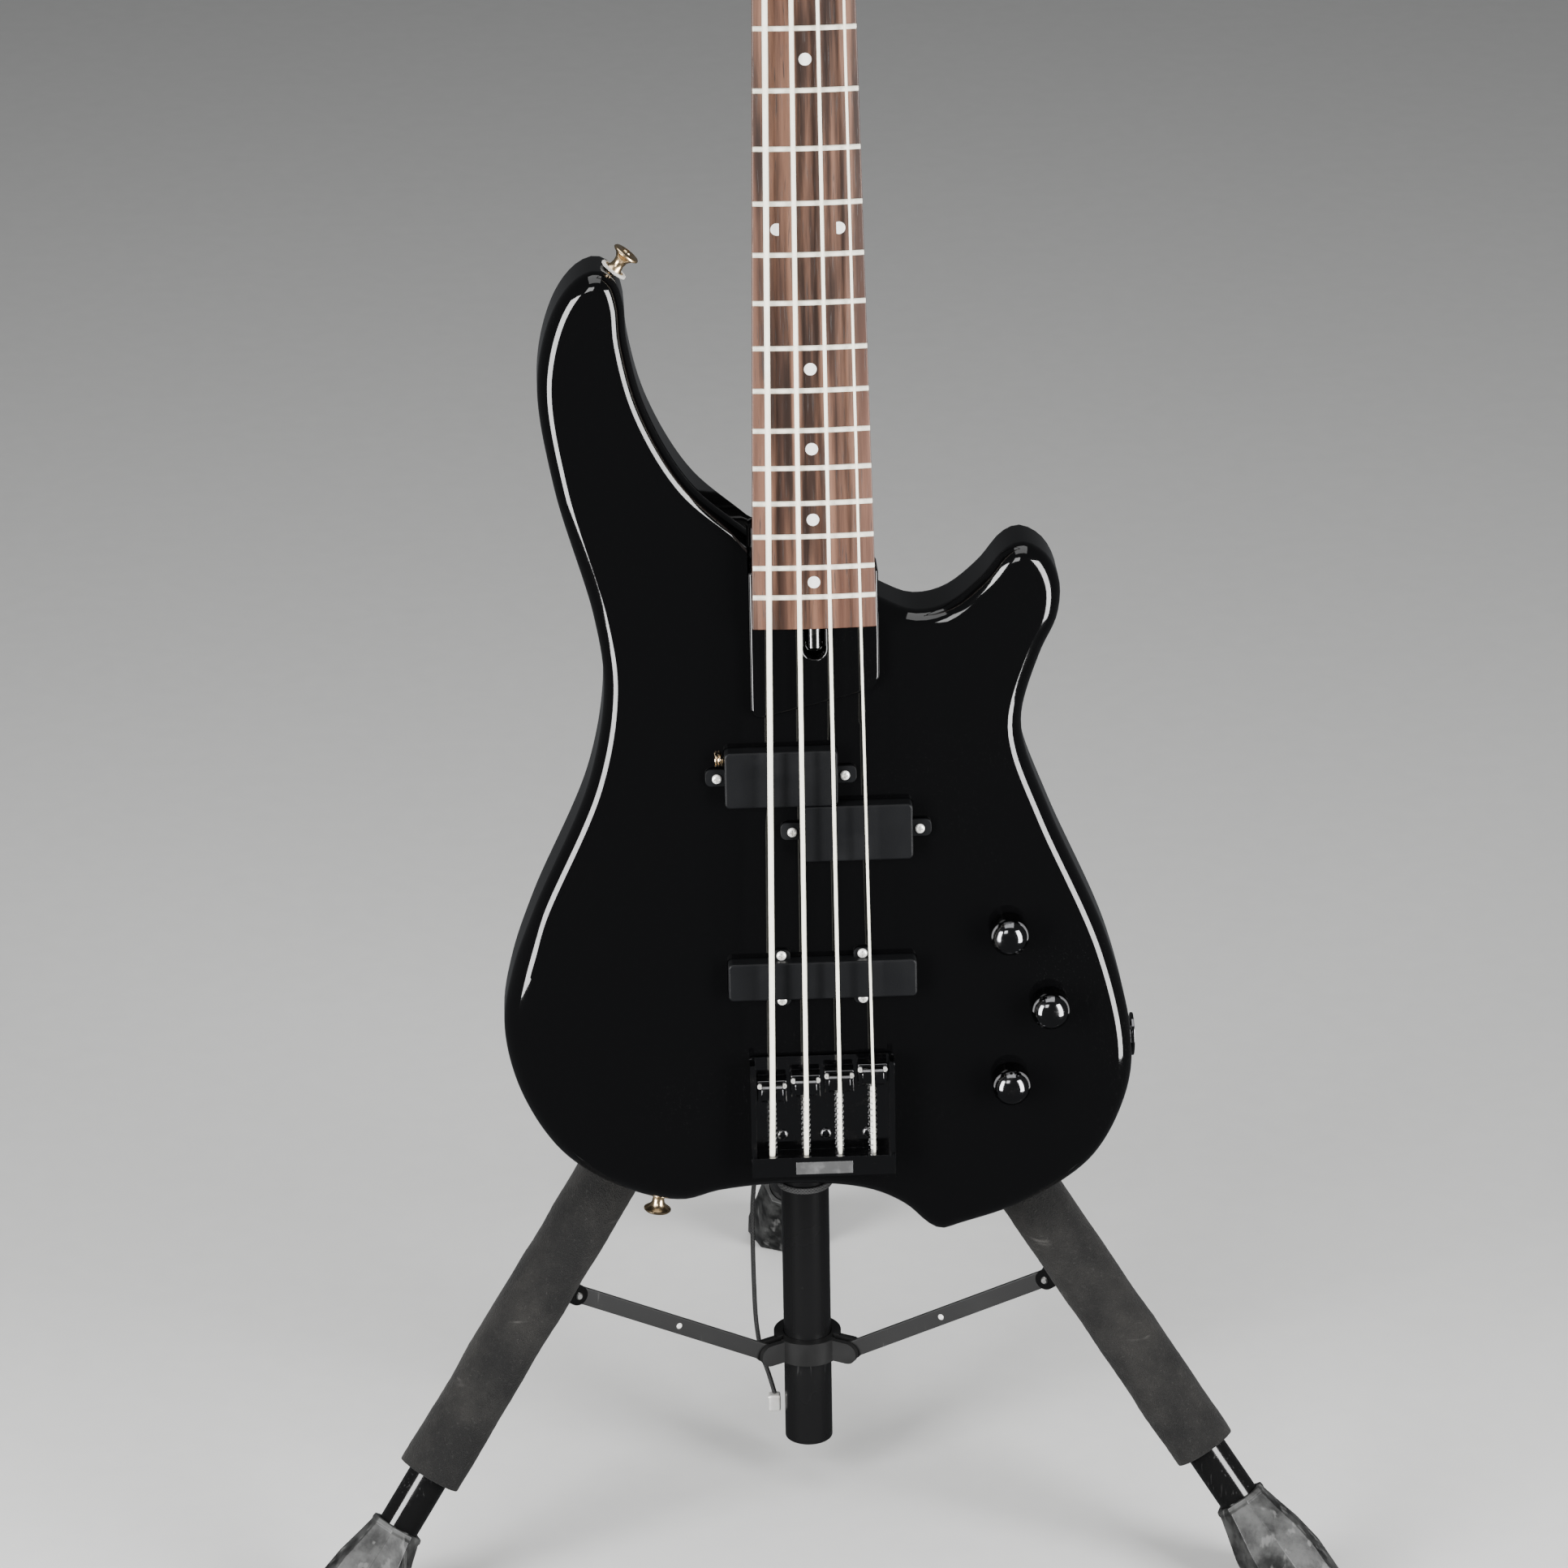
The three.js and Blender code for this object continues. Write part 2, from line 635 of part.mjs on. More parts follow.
function coverShape(margin) {
  return roundedRectangle(72 - margin, -28 - margin, 130 + margin, 88 + margin, 14 + margin);
}

function bodyGeometry() {
  const blank = plate(smoothOutline(bodyOutline, 110), 0, bodyDepth, bodyEdge, 2);
  const pocketDepth = neckTop + heelDepth + gap;
  const splitCavities = splitPickups.map(({ x, z }) =>
    plate(rectangleAt(x, z, splitWidth, splitHeight, 2, gap), -1, pickupDepth + gap));
  const { x: barX, z: barZ, width, height } = barPickup;
  const barCavity = plate(rectangleAt(barX, barZ, width, height, 2, gap), -1, pickupDepth + gap);
  const pocket = plate(heelShape(gap), -1, pocketDepth);
  const pocketHalf = heelWidth / 2 + gap;
  const pocketMouth = block([-pocketHalf, -1, heelTop - 1], [pocketHalf, pocketDepth, 2 * through]);
  const cavity = plate(coverShape(-7), cavityFront, bodyDepth + 1);
  const coverRecess = plate(coverShape(gap), bodyDepth - coverThickness - gap, bodyDepth + 1);
  const plateRecess = plate(rectangleAt(0, neckPlate.z, neckPlate.width, neckPlate.height, 5, gap),
    bodyDepth - neckPlate.thickness - gap, bodyDepth + 1);
  const shafts = controlPlaces.map(([x, z]) =>
    alongY(rod(knobShaftRadius + 2 * gap, -1, cavityFront + 6, smallSides)).translate(x, 0, z));
  const jackHole = alongX(rod(jackBarrel + gap, 100, through)).translate(0, jackPlace[1], jackPlace[2]);
  return cut(blank, ...splitCavities, barCavity, pocket, pocketMouth, cavity, coverRecess, plateRecess,
    ...shafts, jackHole);
}

// A jack socket: flange outside, barrel reaching into the control cavity.
function jackGeometry() {
  const front = gap + 1.5;
  return alongX(revolve([
    [jackBore, -jackDepth], [jackBarrel, -jackDepth], [jackBarrel, gap], [jackFlange, gap], [jackFlange, front],
    [jackBore, front], [jackBore, -jackDepth],
  ])).translate(...jackPlace);
}

function splitPickupGeometry({ x, z }) {
  const cover = plate(rectangleAt(x, z, splitWidth, splitHeight, 2), -pickupProud, pickupDepth);
  const ears = [-1, 1].map((side) => {
    const centre = x + side * (splitWidth / 2 + pickupEar / 2 - 1);
    return plate(rectangleAt(centre, z, pickupEar + 2, 9, 3), earFront, earBack);
  });
  return join(cover, ...ears);
}

function barPickupGeometry() {
  const { x, z, width, height } = barPickup;
  const cover = plate(rectangleAt(x, z, width, height, 2), -pickupProud, pickupDepth);
  const ears = barScrewPlaces.flatMap((place) => [-1, 1].map((side) =>
    plate(rectangleAt(place, z + side * (height / 2 + 1.5), 9, 7, 3), earFront, earBack)));
  return join(cover, ...ears);
}

function controlKnobGeometry() {
  const shaftEnd = cavityFront + 5;
  return alongY(revolve([
    [0, -knobHeight], [knobRadius * 0.6, -knobHeight + 0.9], [knobRadius * 0.9, -knobHeight + 3.2],
    [knobRadius, -knobHeight + 7], [knobRadius, -gap], [knobShaftRadius, -gap], [knobShaftRadius, shaftEnd],
    [0, shaftEnd],
  ]));
}

function strapButtonGeometry() {
  return revolve([
    [0, 0], [strapRadius * 0.72, 0], [strapRadius * 0.45, 3], [strapRadius * 0.42, 7],
    [strapRadius, strapLength - 2], [strapRadius, strapLength - 1], [strapRadius * 0.6, strapLength],
    [0, strapLength],
  ], 16);
}

function strapButton([name, { place, direction }]) {
  const button = piece(`strap_button_${name}`, strapButtonGeometry(), finishes.brass, place);
  const axis = new THREE.Vector3(...direction).normalize();
  button.quaternion.setFromUnitVectors(new THREE.Vector3(0, 0, 1), axis);
  return button;
}

// ---------------------------------------------------------------- neck and headstock
const headFront = neckTop + headstockSetback;
const nutZ = scaleLength;
const boardFront = neckTop - boardThickness;
const headstockOutline = [
  [-nutWidth / 2, 0], [-25, 9], [-39, 24], [-45, 40], [-41, 66], [-28, 130], [-19, 172], [-12, 188], [2, 197],
  [18, 194], [28, 181], [34, 150], [36.5, 100], [36, 55], [33, 26], [25, 11], [nutWidth / 2, 0],
];
const postAboveNut = (index) => firstPostAboveNut + index * postSpacing;

function stringX(index, z) {
  const spacing = THREE.MathUtils.lerp(stringSpacingAtBridge, stringSpacingAtNut, z / scaleLength);
  return (index - 1.5) * spacing;
}

function postPlace(index) {
  const z = nutZ + postAboveNut(index);
  const x = stringX(index, z) - postRadius - stringRadii[index] - gap;
  return [x, headFront, z];
}

function neckHalfWidth(z) {
  return THREE.MathUtils.mapLinear(z, boardEnd, nutZ, boardEndWidth / 2, nutWidth / 2);
}

// The playing part of the neck: flat in front, a half oval behind, thinner and narrower at the nut.
function neckShaftGeometry() {
  const profile = new THREE.Shape();
  profile.absellipse(0, 0, 1, 1, 0, Math.PI);
  const section = polygon(profile.getPoints(8).map((point) => [point.x, point.y]));
  const bottom = heelTop - 12;
  const geometry = new THREE.ExtrudeGeometry(section, { depth: 1, steps: 1, bevelEnabled: false });
  return reshape(geometry, (vertex) => {
    const z = THREE.MathUtils.lerp(bottom, nutZ + 2, vertex.z);
    const depth = THREE.MathUtils.mapLinear(z, bottom, nutZ, neckDepthAtHeel, neckDepthAtNut);
    vertex.set(vertex.x * neckHalfWidth(z), neckTop + vertex.y * depth, z);
  });
}

function neckGeometry() {
  const heel = plate(heelShape(), neckTop, neckTop + heelDepth);
  const headOutline = smoothOutline(headstockOutline.map(([x, z]) => [x, nutZ + z]), 44);
  const headstock = plate(headOutline, headFront, headBack, 2, 1);
  const throat = plate(polygon([
    [-nutWidth / 2, nutZ - 14], [nutWidth / 2, nutZ - 14], [nutWidth / 2, nutZ + 6], [-nutWidth / 2, nutZ + 6],
  ]), neckTop, headBack - 2);
  const whole = join(neckShaftGeometry(), heel, throat, headstock);
  const channelHalf = trussRadius + gap;
  const channel = block([-channelHalf, -through, boardEnd - 16], [channelHalf, neckTop + 9, nutZ - 20]);
  const notch = plate(roundedRectangle(-5.2, boardEnd - 18, 5.2, boardEnd + 2, 5), -through, neckTop + 9.6);
  const postHoles = stringNames.map((_, index) => {
    const [x, , z] = postPlace(index);
    return alongY(rod(postRadius + gap, -through, through, 12)).translate(x, 0, z);
  });
  return cut(whole, channel, notch, ...postHoles);
}

// The board's section is unit wide and cambered in front.
function fingerboardGeometry() {
  const arc = Array.from({ length: 9 }, (_, index) => index / 4 - 1);
  const outline = [[1, 0], [-1, 0], ...arc.map((x) => [x, boardCamber * x * x - boardThickness])];
  const geometry = new THREE.ExtrudeGeometry(polygon(outline), { depth: 1, steps: 1, bevelEnabled: false });
  return reshape(geometry, (vertex) => {
    const z = THREE.MathUtils.lerp(boardEnd, nutZ - gap, vertex.z);
    vertex.set(vertex.x * neckHalfWidth(z), neckTop - gap + vertex.y, z);
  });
}

const nutStringY = boardFront - stringHeightAboveBoard;

function nutGeometry() {
  const outline = rectangleAt(0, nutZ + nutThickness / 2, nutWidth, nutThickness, 0.6);
  const base = plate(outline, boardFront - nutHeight, neckTop - gap);
  const slots = stringNames.map((_, index) => {
    const half = stringRadii[index] + 0.35;
    const x = stringX(index, nutZ);
    return block([x - half, -through, nutZ - 9], [x + half, nutStringY + half, nutZ + 9]);
  });
  return cut(base, ...slots);
}

function trussGeometry() {
  const nutEnd = boardEnd - 13;
  return revolve([
    [0, nutEnd], [4, nutEnd], [4, boardEnd - 2], [trussRadius, boardEnd - 2], [trussRadius, nutZ - 24],
    [0, nutZ - 24],
  ], smallSides).translate(0, neckTop + 4.6, 0);
}

// ---------------------------------------------------------------- bridge
const saddleHalf = (stringSpacingAtBridge - saddleClearance) / 2;
const railInner = 1.5 * stringSpacingAtBridge + saddleHalf + 2 * gap;
const bridgeHalf = railInner + railWidth;
const saddleBack = (index) => saddleZ[index] - saddleLength + 4;

function bridgeGeometry() {
  const front = -gap - bridgeThickness;
  const wallFront = -stringHeightAtTail - 5;
  const wallLow = bridgeWallPlace - bridgeWallThickness;
  const base = plate(roundedRectangle(-bridgeHalf, bridgeBack, bridgeHalf, bridgeFront, 2), front, -gap);
  const rails = [-bridgeHalf, railInner].map((low) =>
    block([low, -12, wallLow], [low + railWidth, -gap - 1, bridgeFront - 1]));
  const wall = block([-bridgeHalf, wallFront, wallLow], [bridgeHalf, -gap - 1, bridgeWallPlace]);
  const holes = stringNames.map((_, index) => {
    const hole = rod(stringRadii[index] + 0.5, wallLow - 5, bridgeWallPlace + 5, smallSides);
    return hole.translate(stringX(index, bridgeWallPlace), -stringHeightAtTail, 0);
  });
  return cut(join(base, ...rails, wall), ...holes);
}

function saddleGeometry(index) {
  const radius = stringRadii[index] + gap;
  const front = -stringHeightAtSaddle;
  const top = front + 0.6;
  const back = -gap - bridgeThickness - gap;
  const low = saddleBack(index);
  const high = low + saddleLength;
  const x = stringX(index, saddleZ[index]);
  const base = block([x - saddleHalf + gap, top + 5, low], [x + saddleHalf - gap, back, high]);
  const barrel = alongX(rod(5, -5.5, 5.5, 16)).translate(x, top + 5, (low + high) / 2);
  const groove = block([x - radius, -through, low - 5], [x + radius, front + radius, high + 5]);
  const drop = block([x - radius, -through, low - 5], [x + radius, front + radius + grooveDrop, low + 4]);
  return cut(join(base, barrel), groove, drop);
}

// ---------------------------------------------------------------- strings and tuners
function stringGeometry(index) {
  const radius = stringRadii[index];
  const middle = saddleBack(index) + saddleLength / 2;
  const [postX, , postZ] = postPlace(index);
  const atTail = [stringX(index, bridgeWallPlace), -stringHeightAtTail, bridgeWallPlace - 6];
  const inFront = [atTail[0], -stringHeightAtTail, bridgeWallPlace + 1];
  const saddleEdge = [stringX(index, middle), -stringHeightAtSaddle, middle - 5.4];
  const pastNut = [stringX(index, nutZ), nutStringY, nutZ + nutThickness + 0.6];
  const atPost = [postX + postRadius + radius + gap, headFront - stringHeightAtPost, postZ];
  const ballPlace = bridgeWallPlace - bridgeWallThickness - 2.4;
  const end = rod(2.6, -2, 2, smallSides).translate(atTail[0], atTail[1], ballPlace);
  const bends = [atTail, inFront, saddleEdge, pastNut, atPost];
  const lengths = bends.slice(1).map((point, step) => strut(radius, bends[step], point));
  return join(end, ...lengths);
}

const housingThickness = 2;
const wheelFront = headBack + 4;
const wheelBack = wheelFront + 4;
const wormAbove = wheelRadius + wormRadius + gap;
const keyY = (wheelFront + wheelBack) / 2;

function postGeometry() {
  const front = -stringHeightAtPost - 4;
  const waist = postRadius - 1;
  const back = wheelBack - headFront;
  const wheel = wheelFront - headFront;
  const solid = alongY(revolve([
    [0, front], [postRadius, front], [postRadius, front + 1.5], [waist + 1, front + 3], [waist + 1, front + 5],
    [postRadius, front + 6.5], [postRadius, wheel], [wheelRadius, wheel], [wheelRadius, back], [0, back],
  ], 12));
  return cut(solid, block([-1.2, front - 1, -through], [1.2, front + 4, through]));
}

function housingGeometry() {
  const front = headBack + gap;
  const back = front + housingThickness;
  const base = plate(rectangleAt(0, 5, 25, 34, 4), front, back);
  const half = 5.5;
  const bearings = [-11, 8.5].map((x) =>
    block([x, back - 1, wormAbove - half], [x + 3, keyY + half, wormAbove + half]));
  const postHole = alongY(rod(postRadius + gap, -through, through, 12));
  const keyHole = alongX(rod(keyShaftRadius + gap, -through, through, smallSides));
  return cut(join(base, ...bearings), postHole, keyHole.translate(0, keyY, wormAbove));
}

// A key: button, shaft and worm along X, the button on the left.
function keyGeometry() {
  const shaft = alongX(rod(keyShaftRadius, -keyReach, 12.5, smallSides));
  const worm = alongX(rod(wormRadius, -7, 7.6, smallSides));
  const circle = new THREE.Shape();
  circle.absellipse(-keyReach - 9, 0, 10, 12.5, 0, 2 * Math.PI);
  const button = plate(circle, -3.5, 3.5, 2, 1);
  return join(shaft, worm, button);
}

function tunerPieces(index) {
  const name = stringNames[index];
  const [x, , z] = postPlace(index);
  return [
    piece(`tuner_housing_${name}`, housingGeometry(), finishes.blackChrome, [x, 0, z]),
    piece(`tuner_post_${name}`, postGeometry(), finishes.blackChrome, [x, headFront, z]),
    piece(`tuner_key_${name}`, keyGeometry(), finishes.blackChrome, [x, keyY, z + wormAbove]),
  ];
}

// A bar over the two thinner strings that holds them down behind the nut.
function stringTreeGeometry() {
  const z = nutZ + 62;
  const barFront = -13.4;
  const x = (stringX(2, z) + stringX(3, z)) / 2;
  const bar = alongX(rod(1.6, -9, 9, smallSides)).translate(x, barFront + 0.5, z);
  return join(bar, alongY(rod(2.4, barFront, headFront - gap, smallSides)).translate(x, 0, z));
}

// ---------------------------------------------------------------- guitar assembly
function guitarGroup() {
  const saddles = stringNames.map((name, index) =>
    piece(`saddle_${name}`, saddleGeometry(index), finishes.blackChrome));
  const strings = stringNames.map((name, index) =>
    piece(`string_${name}`, stringGeometry(index), finishes.stringSteel));
  const knobs = ["volume", "blend", "tone"].map((name, index) => {
    const [x, z] = controlPlaces[index];
    return piece(`knob_${name}`, controlKnobGeometry(), finishes.blackChrome, [x, 0, z]);
  });
  const plateShape = rectangleAt(0, neckPlate.z, neckPlate.width, neckPlate.height, 5);
  const plateFront = bodyDepth - neckPlate.thickness;
  const guitar = group([
    piece("body", bodyGeometry(), finishes.lacquer),
    piece("neck", neckGeometry(), finishes.lacquer),
    piece("fingerboard", fingerboardGeometry(), finishes.rosewood),
    piece("nut", nutGeometry(), finishes.nutBone),
    piece("truss_rod", trussGeometry(), finishes.steel),
    piece("neck_plate", plate(plateShape, plateFront, bodyDepth), finishes.blackChrome),
    ...splitPickups.map((pickup) => piece(pickup.name, splitPickupGeometry(pickup), finishes.plastic)),
    piece("pickup_bridge", barPickupGeometry(), finishes.plastic),
    piece("bridge_plate", bridgeGeometry(), finishes.blackChrome),
    ...saddles,
    ...strings,
    ...stringNames.flatMap((_, index) => tunerPieces(index)),
    piece("string_tree", stringTreeGeometry(), finishes.blackChrome),
    ...knobs,
    ...Object.entries(strapButtonPlaces).map(strapButton),
    piece("control_cover", plate(coverShape(0), bodyDepth - coverThickness, bodyDepth), finishes.plastic),
    piece("output_jack", jackGeometry(), finishes.blackChrome),
  ], [guitarShift, guitarY, saddleHeight]);
  guitar.rotation.x = -lean;
  return guitar;
}

// ---------------------------------------------------------------- the whole, standing on its bottom centre
const whole = group([standGroup(), yokeGroup(), guitarGroup()]);
const bounds = new THREE.Box3().setFromObject(whole, true);
const centre = bounds.getCenter(new THREE.Vector3());
whole.position.set(-centre.x, -centre.y, -bounds.min.z);
const root = group([whole]);
root.name = "guitar_on_stand";

export default root;
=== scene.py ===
"""A four-string bass guitar hanging by its neck on a folding tripod stand.

Lengths in the drawings are millimetres, in the guitar's, a leg's or the stand's own frame.
"""

import math

import bpy
from bpy.props import FloatProperty, FloatVectorProperty, IntProperty, PointerProperty
from bpy.types import Operator, Panel, PropertyGroup
from mathutils import Matrix, Vector, noise


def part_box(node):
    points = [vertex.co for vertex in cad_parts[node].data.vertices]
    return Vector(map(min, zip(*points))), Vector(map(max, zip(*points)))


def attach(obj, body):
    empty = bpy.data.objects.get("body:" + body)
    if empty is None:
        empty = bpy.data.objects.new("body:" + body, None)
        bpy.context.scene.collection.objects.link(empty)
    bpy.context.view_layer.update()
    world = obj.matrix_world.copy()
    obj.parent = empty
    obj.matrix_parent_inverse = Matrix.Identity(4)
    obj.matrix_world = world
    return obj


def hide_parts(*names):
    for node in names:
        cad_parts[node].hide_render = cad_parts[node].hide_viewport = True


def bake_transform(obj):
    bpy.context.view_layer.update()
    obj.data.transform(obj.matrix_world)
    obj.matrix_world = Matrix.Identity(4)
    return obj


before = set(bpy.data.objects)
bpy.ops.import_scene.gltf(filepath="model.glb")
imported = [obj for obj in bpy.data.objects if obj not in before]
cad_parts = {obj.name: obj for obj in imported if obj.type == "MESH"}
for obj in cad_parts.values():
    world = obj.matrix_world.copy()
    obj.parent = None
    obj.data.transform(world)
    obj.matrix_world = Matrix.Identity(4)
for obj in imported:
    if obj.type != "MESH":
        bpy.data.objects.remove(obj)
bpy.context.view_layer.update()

bl_info = {
    "name": "Bass guitar on a stand",
    "version": (1, 0, 0),
    "blender": (4, 5, 0),
    "location": "3D View > Sidebar > Bass",
    "description": "Builds a four-string bass guitar on a folding tripod stand",
    "category": "Object",
}

MM = 0.001

# ------------------------------------------------------------------ sizes, in millimetres
GAP = 0.3
BODY_DEPTH = 44
SCALE_LENGTH = 864
BOARD_END = 240
BOARD_END_HALF = 30.75
NUT_HALF = 19
NECK_TOP = -5
BOARD_THICKNESS = 6
BOARD_CAMBER = 1.5
HEEL_TOP = 268
HEAD_FRONT = 1
HEAD_BACK = 15
STRING_NAMES = "eadg"
LIGHT_TARGET = (0, -0.1, 0.45)
STRING_RADII = (1.4, 1.15, 0.9, 0.65)
STRING_SPACING = (17, 10.2)
SADDLE_Z = (-6, -3.5, -1.5, 1.5)
SADDLE_HEIGHT = 16
TAIL_HEIGHT = 9
BRIDGE_WALL = -43.5
BRIDGE_WALL_THICKNESS = 3
BRIDGE_HALF = 36.5
POST_RADIUS = 6
WHEEL_RADIUS = 8.5
WORM_HEIGHT = 12
WORM_DEPTH = 21
SPLIT_PICKUPS = {"pickup_split_e": (-17.8, 159.7), "pickup_split_g": (19.3, 130)}
SPLIT_SIZE = (56.5, 29.4)
BAR_PICKUP = (1.2, 51)
BAR_SIZE = (95, 20)
BAR_SCREWS = (-19.3, 21.6)
PICKUP_PROUD = 8
CONTROLS = {"volume": (95.5, 72), "blend": (116, 31), "tone": (96, -10)}
COVER_LOW, COVER_HIGH = (72, -28), (130, 88)
NECK_PLATE_Z = 232
JACK_PLACE = (158.7, 22, 4)
STRAP_BUTTONS = {
    "horn": ((-94.3, 21, 417.2), (0.62, 0, 0.78)),
    "end": ((-83.5, 22, -74.4), (-0.12, 0, -1)),
}

TUBE_RADIUS = 12.7
TUBE_WALL = 1.5
TUBE_TOP = 600
MAST_RADIUS = 9.5
FOOT_SPREAD = 292
HUB_HEIGHT = 321
HUB_PIVOT = 37
HUB_SLEEVE_HALF = 26
LEG_RADIUS = 10.75
LEG_ANGLE = math.atan2(FOOT_SPREAD - HUB_PIVOT, HUB_HEIGHT)
LEG_LENGTH = (HUB_HEIGHT - 12.5) / math.cos(LEG_ANGLE)
LEGS = {"left": 210, "right": 330, "rear": 90}
LUG_STATION = 197
LUG_OFFSET = 21
COLLAR_HEIGHT = 83
COLLAR_PIVOT = 25.5
SLOT_HALF = 2
EAR = 3
SLEEVE_RADIUS = 17
SLEEVE_START, SLEEVE_END = 40, 316
BOOT_START = 347
KNOB_ANGLE = 30
YOKE_ROD = 5
YOKE_ARM_HALF = 32

# ------------------------------------------------------------------ places, from the frame


def guitar_frame():
    """The guitar's own frame: on the body's face at the saddle line, Z up the neck."""
    lean = math.radians(2.5)
    nut_centre = Vector((0, -9.65, SCALE_LENGTH + 2)) * MM
    turn = Matrix.Rotation(-lean, 4, "X")
    low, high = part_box("nut")
    return Matrix.Translation((low + high) / 2 - turn @ nut_centre) @ turn


def stand_frame():
    """The stand's own frame: its tube's axis, with Z from the floor."""
    low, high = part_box("lower_tube")
    return Matrix.Translation(((low.x + high.x) / 2, (low.y + high.y) / 2, 0))


GUITAR = guitar_frame()
STAND = stand_frame()


def leg_frame(side):
    """A leg's own frame: on its hub pivot, Z up the leg and X away from the tube."""
    out = STAND @ Matrix.Rotation(math.radians(LEGS[side]), 4, "Z")
    pivot = Matrix.Translation(Vector((HUB_PIVOT, 0, HUB_HEIGHT)) * MM)
    return out @ pivot @ Matrix.Rotation(-LEG_ANGLE, 4, "Y")


def string_x(index, z):
    wide, narrow = STRING_SPACING
    return (index - 1.5) * (wide + (narrow - wide) * z / SCALE_LENGTH)


def post_place(index):
    z = SCALE_LENGTH + 38 + index * 40
    return string_x(index, z) - POST_RADIUS - STRING_RADII[index] - GAP, z


def neck_half(z):
    share = (z - BOARD_END) / (SCALE_LENGTH - BOARD_END)
    return BOARD_END_HALF + (NUT_HALF - BOARD_END_HALF) * share


def fret_place(number):
    return SCALE_LENGTH * 2 ** (-number / 12)


# ------------------------------------------------------------------ drawing


def smooth_path(points, count):
    """Evenly spaced points on a centripetal Catmull-Rom curve through the given ones."""
    knots = [Vector(point).to_3d() for point in points]
    knots = [2 * knots[0] - knots[1], *knots, 2 * knots[-1] - knots[-2]]
    dense = []
    for a, b, c, d in zip(knots, knots[1:], knots[2:], knots[3:]):
        t1 = math.sqrt((b - a).length)
        t2 = t1 + math.sqrt((c - b).length)
        t3 = t2 + math.sqrt((d - c).length)
        for step in range(16):
            t = t1 + (t2 - t1) * step / 16
            ab = a.lerp(b, t / t1)
            bc = b.lerp(c, (t - t1) / (t2 - t1))
            cd = c.lerp(d, (t - t2) / (t3 - t2))
            abc = ab.lerp(bc, t / t2)
            bcd = bc.lerp(cd, (t - t1) / (t3 - t1))
            dense.append(abc.lerp(bcd, (t - t1) / (t2 - t1)))
    dense.append(knots[-2])
    return spaced(dense, count)


def spaced(points, count):
    """The same line with count points, evenly spaced."""
    lengths = [0.0]
    for a, b in zip(points, points[1:]):
        lengths.append(lengths[-1] + (b - a).length)
    result = []
    place = 0
    for step in range(count):
        target = lengths[-1] * step / (count - 1)
        while place < len(points) - 2 and lengths[place + 1] < target:
            place += 1
        run = lengths[place + 1] - lengths[place]
        result.append(points[place].lerp(points[place + 1], (target - lengths[place]) / run))
    return result


def arc(x, z, radius, start, end, steps=8):
    """Points of an arc, with its angles in degrees."""
    angles = [math.radians(start + (end - start) * step / steps) for step in range(steps + 1)]
    return [(x + radius * math.cos(a), z + radius * math.sin(a)) for a in angles]


def rounded_rectangle(low, high, radius, margin=0):
    left, bottom = low[0] - margin, low[1] - margin
    right, top = high[0] + margin, high[1] + margin
    radius += margin
    corners = [(right, top, 0), (left, top, 90), (left, bottom, 180), (right, bottom, 270)]
    outline = []
    for x, z, start in corners:
        inward_x = x - math.copysign(radius, x - (left + right) / 2)
        inward_z = z - math.copysign(radius, z - (bottom + top) / 2)
        outline += arc(inward_x, inward_z, radius, start, start + 90, 6)
    return outline


def rectangle_at(centre, size, radius, margin=0):
    (x, z), (width, height) = centre, size
    low, high = (x - width / 2, z - height / 2), (x + width / 2, z + height / 2)
    return rounded_rectangle(low, high, radius, margin)


# ------------------------------------------------------------------ modelling


def activate(piece, *others):
    bpy.ops.object.select_all(action="DESELECT")
    for each in (piece, *others):
        each.select_set(True)
    bpy.context.view_layer.objects.active = piece
    return piece


def edit(piece, mode="VERT"):
    activate(piece)
    bpy.ops.object.mode_set(mode="EDIT")
    bpy.ops.mesh.select_mode(type=mode)


def stop_editing():
    bpy.ops.object.mode_set(mode="OBJECT")


def select_faces(piece, wanted):
    """Leaves the piece in edit mode with the faces selected that wanted() accepts."""
    edit(piece, "FACE")
    bpy.ops.mesh.select_all(action="DESELECT")
    stop_editing()
    for face in piece.data.polygons:
        face.select = bool(wanted(face))
    bpy.ops.object.mode_set(mode="EDIT")


def close_up(piece):
    """Merges doubles and turns every face outwards."""
    edit(piece)
    bpy.ops.mesh.select_all(action="SELECT")
    bpy.ops.mesh.remove_doubles(threshold=MM * 0.002)
    bpy.ops.mesh.normals_make_consistent(inside=False)
    stop_editing()
    return piece


def box(low, high):
    low, high = Vector(low) * MM, Vector(high) * MM
    bpy.ops.object.select_all(action="DESELECT")
    bpy.ops.mesh.primitive_cube_add(size=1, location=(low + high) / 2, scale=high - low)
    bpy.ops.object.transform_apply()
    return bpy.context.object


def cylinder(radius, start, end, sides=48, end_radius=None):
    """A cylinder, or a cone with its own radius at its end, from one point to another."""
    start, end = Vector(start) * MM, Vector(end) * MM
    axis = end - start
    top = radius if end_radius is None else end_radius
    bpy.ops.object.select_all(action="DESELECT")
    bpy.ops.mesh.primitive_cone_add(
        vertices=sides,
        radius1=radius * MM,
        radius2=top * MM,
        depth=axis.length,
        location=(start + end) / 2,
        rotation=axis.to_track_quat("Z", "Y").to_euler(),
    )
    bpy.ops.object.transform_apply()
    return bpy.context.object


